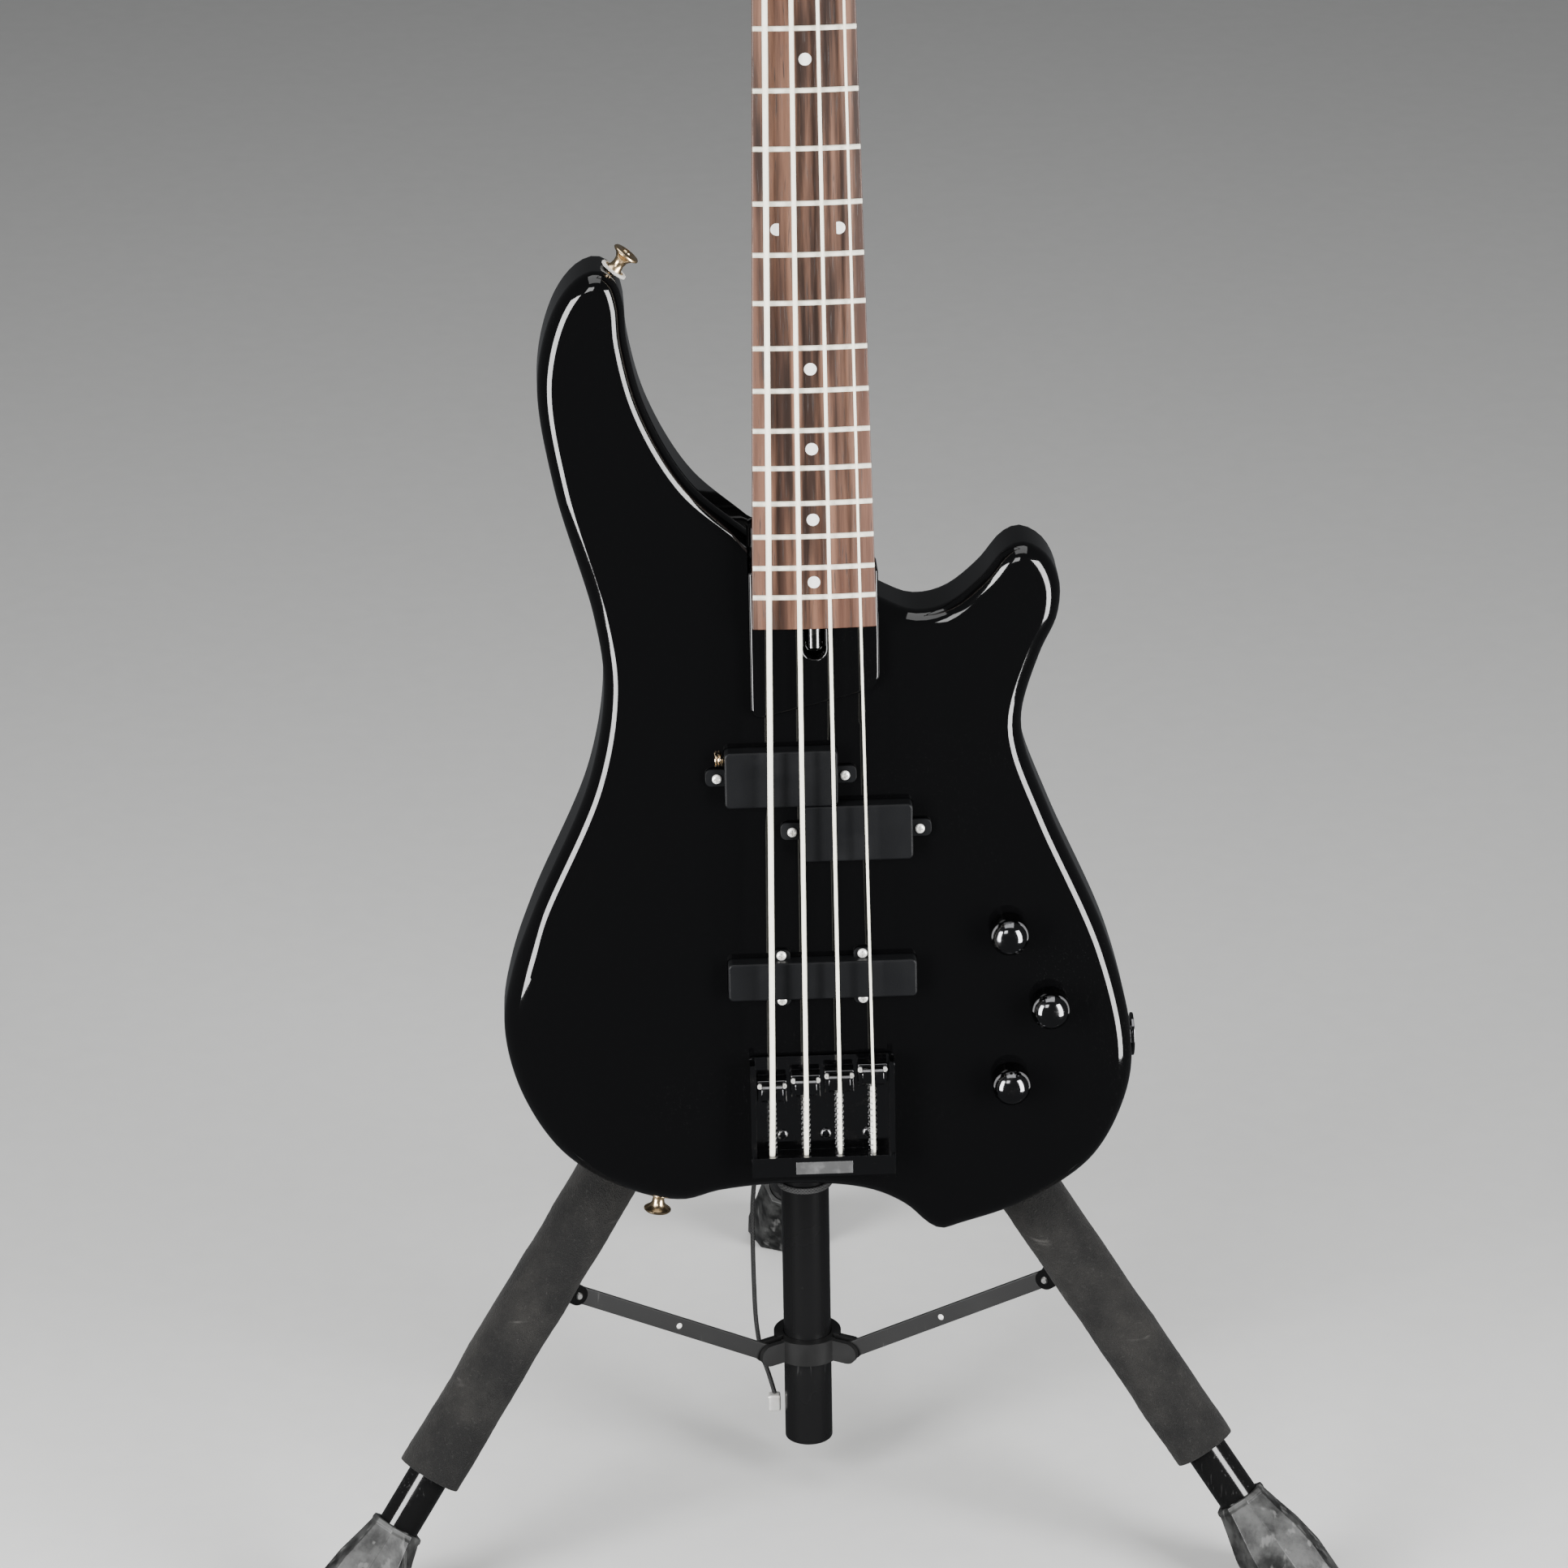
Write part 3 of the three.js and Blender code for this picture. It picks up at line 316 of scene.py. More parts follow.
def lathe(profile, sides=48):
    """A solid of revolution about Z through (radius, height) points."""
    bpy.ops.object.select_all(action="DESELECT")
    bpy.ops.mesh.primitive_plane_add(size=MM)
    piece = bpy.context.object
    edit(piece)
    bpy.ops.mesh.select_all(action="SELECT")
    bpy.ops.mesh.merge(type="CENTER")
    points = [Vector((radius, 0, height)) * MM for radius, height in profile]
    bpy.ops.transform.translate(value=points[0])
    for a, b in zip(points, points[1:]):
        bpy.ops.mesh.extrude_region_move(TRANSFORM_OT_translate={"value": b - a})
    bpy.ops.mesh.select_all(action="SELECT")
    bpy.ops.mesh.spin(steps=sides, angle=2 * math.pi, center=(0, 0, 0), axis=(0, 0, 1))
    stop_editing()
    return close_up(piece)


def plate(outline, front, back):
    """A flat plate drawn in X and Z, from y = front to y = back."""
    bpy.ops.object.select_all(action="DESELECT")
    bpy.ops.mesh.primitive_circle_add(vertices=len(outline), radius=MM, fill_type="NGON")
    piece = bpy.context.object
    for vertex, point in zip(piece.data.vertices, outline):
        vertex.co = Vector((point[0], front, point[1])) * MM
    edit(piece)
    bpy.ops.mesh.select_all(action="SELECT")
    depth = {"value": (0, (back - front) * MM, 0)}
    bpy.ops.mesh.extrude_region_move(TRANSFORM_OT_translate=depth)
    stop_editing()
    return close_up(piece)


def wire(points, radius, sides=4, closed=False):
    """A round rod along a line of points, with closed ends."""
    curve = bpy.data.curves.new("line", "CURVE")
    curve.dimensions = "3D"
    curve.bevel_depth = radius * MM
    curve.bevel_resolution = sides
    curve.use_fill_caps = not closed
    spline = curve.splines.new("POLY")
    spline.points.add(len(points) - 1)
    spline.use_cyclic_u = closed
    for knot, point in zip(spline.points, points):
        knot.co = (*(Vector(point) * MM), 1)
    piece = bpy.data.objects.new("line", curve)
    bpy.context.scene.collection.objects.link(piece)
    return piece


def rod_along(points, radius, sides=4, closed=False):
    piece = wire(points, radius, sides, closed)
    activate(piece)
    bpy.ops.object.convert(target="MESH")
    return close_up(bpy.context.object)


def modify(piece, kind, **settings):
    activate(piece)
    modifier = piece.modifiers.new(kind, kind)
    for name, value in settings.items():
        setattr(modifier, name, value)
    bpy.ops.object.modifier_apply(modifier=modifier.name)
    return piece


def boolean(piece, tools, operation):
    for tool in tools:
        modify(piece, "BOOLEAN", operation=operation, solver="EXACT", object=tool)
        bpy.data.objects.remove(tool)
    return piece


def carve(piece, *tools):
    return boolean(piece, tools, "DIFFERENCE")


def unite(piece, *others):
    return boolean(piece, others, "UNION")


def round_edges(piece, width, segments=3, angle=40):
    return modify(
        piece,
        "BEVEL",
        width=width * MM,
        segments=segments,
        limit_method="ANGLE",
        angle_limit=math.radians(angle),
        use_clamp_overlap=True,
    )


def polish(piece, angle=35):
    """Smooth shading that keeps flat faces flat."""
    activate(piece)
    bpy.ops.object.shade_smooth_by_angle(angle=math.radians(angle))
    return modify(piece, "WEIGHTED_NORMAL", keep_sharp=True, weight=60)


def join(pieces):
    activate(*pieces)
    if len(pieces) > 1:
        bpy.ops.object.join()
    return bpy.context.object


def copy_at(piece, matrix):
    """A copy with its own mesh, moved by the matrix."""
    twin = piece.copy()
    twin.data = piece.data.copy()
    twin.data.transform(matrix)
    bpy.context.scene.collection.objects.link(twin)
    return twin


def pointing(place, direction):
    """A matrix that takes Z to the direction and the origin to the place."""
    turn = Vector(direction).to_track_quat("Z", "Y").to_matrix().to_4x4()
    return Matrix.Translation(Vector(place) * MM) @ turn


def move(piece, matrix):
    piece.data.transform(matrix)
    return piece


def finish(piece, name, body, material, place=None, replaces=()):
    """Names a piece, moves it to its place, parents it to what it rides on and hides the parts that it
    replaces.

    The body is a name, or (body, body, start, end) for a piece that stretches between two; such a piece
    only has its place baked in and is parented to neither.
    """
    if place is not None:
        piece.data.transform(place)
    piece.name = name
    piece.data.name = name
    piece.data.materials.clear()
    piece.data.materials.append(material)
    if isinstance(body, str):
        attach(piece, body)
    else:
        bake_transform(piece)
    if replaces:
        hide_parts(*replaces)
    return piece


# ------------------------------------------------------------------ shader helpers


class Value:
    """A number in a shader. Arithmetic on it adds Math nodes."""

    def __init__(self, shader, socket):
        self.shader = shader
        self.socket = socket

    def math(self, operation, *others, clamp=False):
        settings = {"operation": operation, "use_clamp": clamp}
        inputs = dict(enumerate((self, *others)))
        return self.shader.node("ShaderNodeMath", settings, inputs)

    def __add__(self, other):
        return self.math("ADD", other)

    def __sub__(self, other):
        return self.math("SUBTRACT", other)

    def __rsub__(self, other):
        return self.shader.node("ShaderNodeMath", {"operation": "SUBTRACT"}, {0: other, 1: self})

    def __mul__(self, other):
        return self.math("MULTIPLY", other)

    __radd__ = __add__
    __rmul__ = __mul__

    def above(self, low, high):
        """0 below low, 1 above high and smooth in between."""
        settings = {"interpolation_type": "SMOOTHSTEP"}
        return self.shader.node("ShaderNodeMapRange", settings, {0: self, 1: low, 2: high})


class Shader:
    """A Principled material. Its fixed values stay on the shader's own sockets."""

    def __init__(self, name, color, roughness, **fixed):
        self.material = bpy.data.materials.new(name)
        self.material.use_nodes = True
        self.tree = self.material.node_tree
        self.surface = self.tree.nodes["Principled BSDF"]
        self.surface.inputs["Base Color"].default_value = (*color, 1)
        self.surface.inputs["Roughness"].default_value = roughness
        for socket, value in fixed.items():
            label = socket.replace("_", " ").title().replace("Ior", "IOR")
            self.surface.inputs[label].default_value = value
        self.color = color
        coordinates = self.tree.nodes.new("ShaderNodeTexCoord")
        self.place = Value(self, coordinates.outputs["Object"])

    def node(self, kind, settings=None, inputs=None, output=0):
        """One node: its settings first, then its sockets' values or links."""
        made = self.tree.nodes.new(kind)
        for name, value in (settings or {}).items():
            setattr(made, name, value)
        for name, value in (inputs or {}).items():
            if isinstance(value, Value):
                self.tree.links.new(value.socket, made.inputs[name])
            else:
                made.inputs[name].default_value = value
        return Value(self, made.outputs[output])

    def turned(self, matrix, scale=(1, 1, 1)):
        """The place in a piece's own frame, stretched by scale."""
        inputs = {
            "Vector": self.place,
            "Location": matrix.translation,
            "Rotation": matrix.to_euler(),
        }
        own = self.node("ShaderNodeMapping", {"vector_type": "TEXTURE"}, inputs)
        return self.node("ShaderNodeVectorMath", {"operation": "MULTIPLY"}, {0: own, 1: scale})

    def noise(self, scale, detail=2.0, place=None, roughness=0.5):
        inputs = {"Vector": place or self.place, "Scale": scale, "Detail": detail, "Roughness": roughness}
        return self.node("ShaderNodeTexNoise", None, inputs)

    def specks(self, scale, place=None, feature="F1"):
        inputs = {"Vector": place or self.place, "Scale": scale}
        return self.node("ShaderNodeTexVoronoi", {"feature": feature}, inputs)

    def axis(self, place, index):
        return self.node("ShaderNodeSeparateXYZ", None, {0: place}, index)

    def mix(self, factor, a, b):
        """A colour between a and b."""
        inputs = {0: factor}
        for index, color in ((6, a), (7, b)):
            inputs[index] = color if isinstance(color, Value) else (*color, 1)
        return self.node("ShaderNodeMix", {"data_type": "RGBA"}, inputs, 2)

    def bump(self, height, strength, distance):
        inputs = {"Height": height, "Strength": strength, "Distance": distance}
        return self.node("ShaderNodeBump", None, inputs)

    def link(self, socket, value):
        self.tree.links.new(value.socket, self.surface.inputs[socket])

    def finished(self, color=None, roughness=None, normal=None, **others):
        for socket, value in (("Base Color", color), ("Roughness", roughness), ("Normal", normal)):
            if value is not None:
                self.link(socket, value)
        for socket, value in others.items():
            self.link(socket.replace("_", " ").title(), value)
        return self.material


# ------------------------------------------------------------------ finishes


def lacquer():
    shader = Shader("black_lacquer", (0.0012, 0.0012, 0.0013), 0.04)
    dust = shader.specks(900).math("LESS_THAN", 0.07)
    dusty = dust * shader.noise(14).above(0.5, 0.7)
    haze = shader.noise(9, 4).above(0.45, 0.85)
    scratch_place = shader.turned(GUITAR, (260, 260, 14))
    scratches = shader.noise(1, 1, scratch_place).above(0.78, 0.8) * shader.noise(11).above(0.55, 0.7)
    color = shader.mix(dusty * 0.3 + scratches * 0.15, shader.color, (0.1, 0.1, 0.1))
    roughness = haze * 0.05 + dusty * 0.4 + scratches * 0.2 + 0.045
    peel = shader.noise(420, 2)
    return shader.finished(color, roughness, shader.bump(peel, 0.02, 0.0003))


def rosewood():
    shader = Shader("rosewood", (0.16, 0.075, 0.05), 0.42)
    grain = shader.turned(GUITAR, (170, 170, 7))
    streaks = shader.noise(1, 5, grain, 0.6)
    bands = shader.noise(1, 2, shader.turned(GUITAR, (62, 62, 3)))
    pores = shader.noise(1, 2, shader.turned(GUITAR, (1500, 1500, 60))).above(0.62, 0.7)
    base = shader.mix(streaks.above(0.38, 0.7), (0.017, 0.0075, 0.0045), (0.15, 0.072, 0.044))
    warm = shader.mix(bands.above(0.42, 0.66) * 0.6, base, (0.105, 0.043, 0.026))
    color = shader.mix(pores * 0.75, warm, (0.012, 0.005, 0.003))
    roughness = streaks * 0.2 + pores * 0.25 + 0.34
    return shader.finished(color, roughness, shader.bump(streaks - pores, 0.25, 0.0002))


def plastic(name, color, roughness, grain=900.0, depth=0.12, shine_level=0.3):
    shader = Shader(name, color, roughness, specular_ior_level=shine_level)
    pebble = shader.noise(grain, 2)
    wear = shader.noise(40, 3).above(0.5, 0.8)
    tone = shader.mix(wear * 0.5, shader.color, [channel * 1.7 + 0.004 for channel in color])
    shine = shader.noise(70, 2) * 0.16 + (roughness - 0.08)
    return shader.finished(tone, shine, shader.bump(pebble, depth, 0.0003))


def bone():
    shader = Shader("bone", (0.78, 0.72, 0.58), 0.38, subsurface_weight=0.1)
    clouds = shader.noise(260, 4)
    color = shader.mix(clouds, (0.68, 0.6, 0.44), (0.86, 0.82, 0.7))
    return shader.finished(color, clouds * 0.15 + 0.3, shader.bump(clouds, 0.1, 0.0002))


def metal(name, color, roughness, tarnish, spread=0.5, metallic=1.0):
    """Plated or bare metal: worn and smudged towards the tarnish colour."""
    shader = Shader(name, color, roughness, metallic=metallic)
    smudges = shader.noise(150, 4).above(0.45, 0.8)
    marks = shader.noise(1100, 2).above(0.62, 0.75)
    tone = shader.mix(smudges * spread, shader.color, tarnish)
    shine = smudges * 0.18 + marks * 0.1 + roughness
    return shader.finished(tone, shine, shader.bump(marks, 0.06, 0.0001))


def string_steel():
    """Nickel windings: fine rings round each string."""
    shader = Shader("string_steel", (0.93, 0.9, 0.78), 0.34, metallic=0.0)
    along = shader.axis(shader.turned(GUITAR), 2)
    rings = (along * (2 * math.pi / 0.00042)).math("SINE")
    worn = shader.noise(90, 3)
    color = shader.mix(worn, (0.86, 0.82, 0.66), (1.0, 0.985, 0.88))
    return shader.finished(color, worn * 0.15 + 0.27, shader.bump(rings, 0.5, 0.00012))


def painted(name, color, roughness, scratch_color, amount=0.5, shine_level=0.5):
    """Painted steel tube with fine scuffs and a few chips."""
    shader = Shader(name, color, roughness, specular_ior_level=shine_level)
    scuffs = shader.noise(1, 2, shader.turned(STAND, (900, 900, 90))).above(0.64, 0.7)
    patches = shader.noise(22, 4).above(0.5, 0.75)
    chips = shader.specks(130).math("LESS_THAN", 0.09) * shader.noise(30).above(0.6, 0.66)
    orange = shader.noise(1300, 2)
    worn = (scuffs * patches * amount).math("MAXIMUM", chips * amount)
    color = shader.mix(worn, shader.color, scratch_color)
    shine = patches * 0.08 + worn * 0.25 + roughness
    return shader.finished(color, shine, shader.bump(orange, 0.05, 0.0002))


def foam():
    shader = Shader("foam", (0.008, 0.008, 0.008), 0.95, sheen_weight=0.04, specular_ior_level=0.2)
    cells = shader.specks(1300)
    fuzz = shader.noise(620, 4, roughness=0.7)
    patches = shader.noise(26, 5, roughness=0.62)
    scuff_place = shader.turned(STAND, (30, 30, 160))
    scuffs = shader.noise(1, 3, scuff_place).above(0.66, 0.74) * patches.above(0.5, 0.6)
    dull = shader.mix(patches.above(0.35, 0.7), (0.0035, 0.0034, 0.0033), (0.0125, 0.0118, 0.0108))
    pale = (fuzz.above(0.55, 0.8) * 0.35).math("MAXIMUM", scuffs * 0.6)
    color = shader.mix(pale, dull, (0.05, 0.048, 0.045))
    height = fuzz * 0.7 + cells * 0.5
    return shader.finished(color, patches * 0.1 + 0.86, shader.bump(height, 0.75, 0.0012))


def boot_rubber():
    """Cloudy, slightly see-through grey rubber, with painted highlights as pale streaks in its colour."""
    shader = Shader("boot_rubber", (0.06, 0.061, 0.06), 0.26, specular_ior_level=0.4)
    clouds = shader.noise(75, 5, roughness=0.6)
    painted_streaks = shader.noise(1, 3, shader.turned(STAND, (160, 160, 40)))
    color = shader.mix(clouds.above(0.32, 0.68), (0.004, 0.0041, 0.004), (0.04, 0.0405, 0.0395))
    # Pale streaks along the stand's height are painted highlights on the rubber, not a colour it has.
    color = shader.mix(painted_streaks.above(0.58, 0.68) * 0.4, color, (0.13, 0.13, 0.127))
    return shader.finished(color, clouds * 0.3 + 0.25, shader.bump(clouds + painted_streaks, 0.25, 0.0006))


def braided_cord():
    shader = Shader("cord", (0.012, 0.012, 0.012), 0.75)
    along = shader.axis(shader.place, 2)
    across = shader.axis(shader.place, 0)
    left = ((along + across) * 3600.0).math("SINE")
    right = ((along - across) * 3600.0).math("SINE")
    strands = left.math("MAXIMUM", right)
    # The colour follows the weave: darker in the grooves between the strands is painted shade, lighter on
    # their tops is painted highlight.
    color = shader.mix(strands.above(0.2, 1), (0.006, 0.006, 0.006), (0.035, 0.035, 0.035))
    return shader.finished(color, strands * 0.08 + 0.7, shader.bump(strands, 0.5, 0.0003))


def felt():
    shader = Shader("felt", (0.5, 0.49, 0.45), 0.95, sheen_weight=0.3)
    fibres = shader.noise(1500, 4, roughness=0.7)
    color = shader.mix(fibres, (0.32, 0.31, 0.28), (0.66, 0.64, 0.6))
    return shader.finished(color, fibres * 0.1 + 0.85, shader.bump(fibres, 0.6, 0.0004))


def pearl():
    shader = Shader("dot_inlay", (0.86, 0.86, 0.83), 0.25, coat_weight=0.3)
    swirl = shader.noise(240, 4)
    color = shader.mix(swirl, (0.74, 0.74, 0.7), (0.95, 0.95, 0.93))
    return shader.finished(color, swirl * 0.1 + 0.2, shader.bump(swirl, 0.05, 0.0001))


FINISHES = {}


def make_finishes():
    """Every finish once, by the name of the record's slot or of what it is on."""
    FINISHES.update(
        lacquer=lacquer(),
        rosewood=rosewood(),
        cover_plastic=plastic("cover_plastic", (0.0045, 0.0047, 0.0052), 0.4, 1200, 0.15, 0.14),
        black_plastic=plastic("black_plastic", (0.007, 0.007, 0.007), 0.38),
        bone=bone(),
        black_chrome=metal("black_chrome", (0.13, 0.13, 0.135), 0.08, (0.06, 0.055, 0.05)),
        bright_metal=metal("bright_metal", (0.9, 0.89, 0.86), 0.3, (0.6, 0.57, 0.5), 0.5, 0.45),
        fret_wire=metal("fret_wire", (0.95, 0.92, 0.8), 0.3, (0.74, 0.69, 0.52), 0.4, 0.3),
        brass=metal("brass", (0.83, 0.64, 0.4), 0.2, (0.4, 0.27, 0.14)),
        worn_steel=metal("worn_steel", (0.3, 0.3, 0.3), 0.4, (0.16, 0.16, 0.16)),
        steel=metal("steel", (0.42, 0.42, 0.41), 0.28, (0.18, 0.16, 0.14)),
        string_steel=string_steel(),
        satin_black=painted("satin_black", (0.0055, 0.0055, 0.0057), 0.27, (0.07, 0.07, 0.07), 0.3, 0.14),
        gloss_black=painted("gloss_black", (0.003, 0.003, 0.003), 0.07, (0.15, 0.15, 0.15), 0.15),
        worn_black=painted("worn_black", (0.011, 0.011, 0.011), 0.4, (0.12, 0.12, 0.115), 0.6, 0.3),
        foam=foam(),
        boot_rubber=boot_rubber(),
        cord=braided_cord(),
        felt=felt(),
        dot_inlay=pearl(),
    )
    return FINISHES


# ------------------------------------------------------------------ sizes that a user may change


class StageSettings(PropertyGroup):
    lens: FloatProperty(name="Lens", description="Focal length", default=155.35, unit="CAMERA")
    camera_place: FloatVectorProperty(
        name="Camera", description="Where the camera stands", default=(-0.1195, -3.2852, 1.7909),
        subtype="TRANSLATION", unit="LENGTH",
    )
    pitch: FloatProperty(
        name="Pitch", description="Downward tilt", default=math.radians(23.3), subtype="ANGLE"
    )
    yaw: FloatProperty(
        name="Yaw", description="Turn to the right", default=math.radians(2), subtype="ANGLE"
    )
    roll: FloatProperty(
        name="Roll", description="Lean of the view", default=math.radians(-1), subtype="ANGLE"
    )
    floor_color: FloatVectorProperty(
        name="Floor", description="Colour of the floor", default=(0.62, 0.62, 0.61), subtype="COLOR"
    )
    light: FloatProperty(name="Light", description="Strength of all the lights", default=1.0, min=0)


class BassSettings(PropertyGroup):
    body_edge: FloatProperty(
        name="Edge radius", description="Rounding of the body's edges", default=0.0105, unit="LENGTH"
    )
    forearm_drop: FloatProperty(
        name="Forearm contour", description="How far the face falls away", default=0.013, unit="LENGTH"
    )
    fret_width: FloatProperty(name="Fret width", description="Crown width", default=0.0026, unit="LENGTH")
    fret_height: FloatProperty(
        name="Fret height", description="Crown height", default=0.0012, unit="LENGTH"
    )
    fret_count: IntProperty(name="Frets", description="Number of frets", default=21, min=1, max=24)
    dot_radius: FloatProperty(
        name="Dot radius", description="Position markers", default=0.0031, unit="LENGTH"
    )


class StandSettings(PropertyGroup):
    sides: IntProperty(name="Tube sides", description="Facets round each tube", default=64, min=16)
    foam_lumps: FloatProperty(
        name="Foam lumps", description="Unevenness of the foam", default=0.0007, unit="LENGTH"
    )


class BassOperator:
    """What every operator of this file shares."""

    bl_options = {"REGISTER", "UNDO"}

    def execute(self, context):
        if not FINISHES:
            make_finishes()
        self.build(context.scene.bass, context.scene.bass_stand)
        return {"FINISHED"}


# ------------------------------------------------------------------ stage and cord


class BASS_OT_stage(Operator):
    """Camera, floor and soft lights"""

    bl_idname = "bass.stage"
    bl_label = "Stage"

    def execute(self, context):
        settings = context.scene.bass_stage
        self.camera(context.scene, settings)
        self.floor(settings)
        self.lights(settings)
        self.world(context.scene, settings)
        return {"FINISHED"}

    def camera(self, scene, settings):
        camera = bpy.data.objects.new("camera", bpy.data.cameras.new("camera"))
        scene.collection.objects.link(camera)
        scene.camera = camera
        camera.data.lens = settings.lens
        camera.data.sensor_width = 36
        camera.data.clip_end = 60
        pitch, yaw, roll = settings.pitch, settings.yaw, settings.roll
        forward = Vector((
            math.sin(yaw) * math.cos(pitch), math.cos(yaw) * math.cos(pitch), -math.sin(pitch)
        ))
        level = Vector((math.cos(yaw), -math.sin(yaw), 0))
        upward = level.cross(forward)
        right = math.cos(roll) * level + math.sin(roll) * upward
        above = math.cos(roll) * upward - math.sin(roll) * level
        turn = Matrix((right, above, -forward)).transposed().to_4x4()
        camera.matrix_world = Matrix.Translation(settings.camera_place) @ turn

    def floor(self, settings):
        bpy.ops.object.select_all(action="DESELECT")
        bpy.ops.mesh.primitive_plane_add(size=1, location=(0, 3.45, -0.0005))
        floor = bpy.context.object
        floor.scale = (9, 8, 1)
        bpy.ops.object.transform_apply()
        shader = Shader("floor", settings.floor_color, 0.8)
        speckle = shader.noise(60, 4)
        pale = [channel * 0.93 for channel in settings.floor_color]
        color = shader.mix(speckle, pale, settings.floor_color)
        floor.data.materials.append(shader.finished(color, speckle * 0.1 + 0.75))
        floor.name = "floor"
        floor.visible_glossy = False

    def lights(self, settings):
        softboxes = {
            "left_strip": ((-1.04, -1.0, 0.55), 0.56, 1.3, 62),
            "right_strip": ((1.04, -1.0, 0.505), 0.56, 1.39, 62),
            "overhead": ((0.0, -0.3, 3.2), 2.4, 2.4, 50),
            "front_fill": ((-1.2, -3.4, 2.6), 1.2, 1.2, 40),
        }
        for name, (place, width, height, power) in softboxes.items():
            light = bpy.data.lights.new(name, "AREA")
            light.shape = "RECTANGLE"
            light.size, light.size_y = width, height
            light.energy = power * settings.light
            holder = bpy.data.objects.new(name, light)
            bpy.context.scene.collection.objects.link(holder)
            holder.location = place
            holder.visible_camera = False
            aim = Vector(LIGHT_TARGET) - Vector(place)
            holder.rotation_euler = aim.to_track_quat("-Z", "Y").to_euler()

    def world(self, scene, settings):
        world = bpy.data.worlds.new("studio")
        world.use_nodes = True
        background = world.node_tree.nodes["Background"]
        background.inputs["Color"].default_value = (0.75, 0.77, 0.8, 1)
        background.inputs["Strength"].default_value = 0.12 * settings.light
        scene.world = world


class BASS_OT_cord(BassOperator, Operator):
    """The thin cord that hangs beside the stand's tube, with its clip"""

    bl_idname = "bass.cord"
    bl_label = "Cord and clip"

    def build(self, bass, stand):
        route = [
            (-13.8, 4, 179), (-20, 6, 181), (-25.5, 7.5, 177), (-27.5, 8.5, 165), (-28, 9, 140),
            (-27.8, 9, 112), (-27, 9, 90), (-24.5, 8.5, 72), (-20.5, 7.5, 58), (-18, 6.8, 48.3),
        ]
        radius = 1.25
        points = smooth_path(route, 40)
        length = sum((b - a).length for a, b in zip(points, points[1:])) * MM
        cord = wire(points, radius, 3)
        cord.name = "tie_cord_line"
        cord.data.name = "tie_cord_line"
        cord.data.transform(STAND)
        cord.data.materials.append(FINISHES["cord"])
        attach(cord, "stand_tube")
        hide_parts("tie_cord")
        clip = self.clip()
        self.tie()

    def clip(self):
        """A sprung metal clip on the tube: two jaws and a rivet."""
        jaw = round_edges(box((-21.3, 3.8, 38), (-14.8, 9.8, 47.7)), 1.2, 3)
        bore = cylinder(TUBE_RADIUS + GAP, (0, 0, 30), (0, 0, 60), 64)
        slit = box((-23, 6.4, 37), (-17, 7.2, 43.5))
        jaw = carve(jaw, bore, slit)
        rivet = cylinder(1.3, (-21.45, 6.8, 45.5), (-20.9, 6.8, 45.5), 20)
        clip = join([jaw, round_edges(rivet, 0.2, 2)])
        return finish(
            polish(clip), "clip", "stand_tube", FINISHES["bright_metal"], STAND,
            ["cord_clip"],
        )

    def tie(self):
        """Two turns of the cord round the tube, where it is tied."""
        turns = [
            ((TUBE_RADIUS + 1.1) * math.cos(a), (TUBE_RADIUS + 1.1) * math.sin(a), 177.4 + 2.6 * step / 72)
            for step in range(73)
            for a in [4 * math.pi * step / 72]
        ]
        tie = rod_along(turns, 1.1, 3)
        finish(polish(tie, 60), "cord_tie", "stand_tube", FINISHES["cord"], STAND)


# ------------------------------------------------------------------ stand


def pipe(outer, inner, low, high, sides=64):
    return lathe([(inner, low), (outer, low), (outer, high), (inner, high), (inner, low)], sides)


def ear_pair(start, pivot, height, inner, thickness, half, azimuth=0):
    """Two ears with round ends, one each side of a slot, turned about the tube."""
    outline = [(start, height - half), *arc(pivot, height, half, -90, 90, 14), (start, height + half)]
    turn = Matrix.Rotation(math.radians(azimuth), 4, "Z")
    sides = [plate(outline, -inner - thickness, -inner), plate(outline, inner, inner + thickness)]
    return [move(side, turn) for side in sides]


def pin(radius, half, x, z, azimuth=0):
    """A pin along Y with domed heads."""
    profile = [
        (0, -half), (radius * 0.7, -half), (radius, -half + radius * 0.3), (radius, half - radius * 0.3),
        (radius * 0.7, half), (0, half),
    ]
    place = Matrix.Translation(Vector((x, 0, z)) * MM) @ Matrix.Rotation(math.pi / 2, 4, "X")
    return move(lathe(profile, 28), Matrix.Rotation(math.radians(azimuth), 4, "Z") @ place)


class BASS_OT_tubes(BassOperator, Operator):
    """The lower tube and the upper tube that slides in it"""

    bl_idname = "bass.tubes"
    bl_label = "Stand tubes"

    def build(self, bass, stand):
        inner = TUBE_RADIUS - TUBE_WALL
        lower = round_edges(pipe(TUBE_RADIUS, inner, 26, TUBE_TOP, stand.sides), 0.6, 3)
        finish(
            polish(lower), "lower_tube_steel", "stand_tube", FINISHES["satin_black"], STAND,
            ["lower_tube"],
        )
        low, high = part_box("upper_tube")
        bottom, top = low.z / MM, high.z / MM
        guide, bore = inner - GAP, MAST_RADIUS - TUBE_WALL
        profile = [
            (bore, bottom), (guide, bottom), (guide, bottom + 25), (MAST_RADIUS, bottom + 27),
            (MAST_RADIUS, top), (bore, top), (bore, bottom),
        ]
        upper = round_edges(lathe(profile, stand.sides), 0.4, 2)
        finish(
            polish(upper), "upper_tube_steel", "upper_tube", FINISHES["satin_black"], STAND,
            ["upper_tube"],
        )


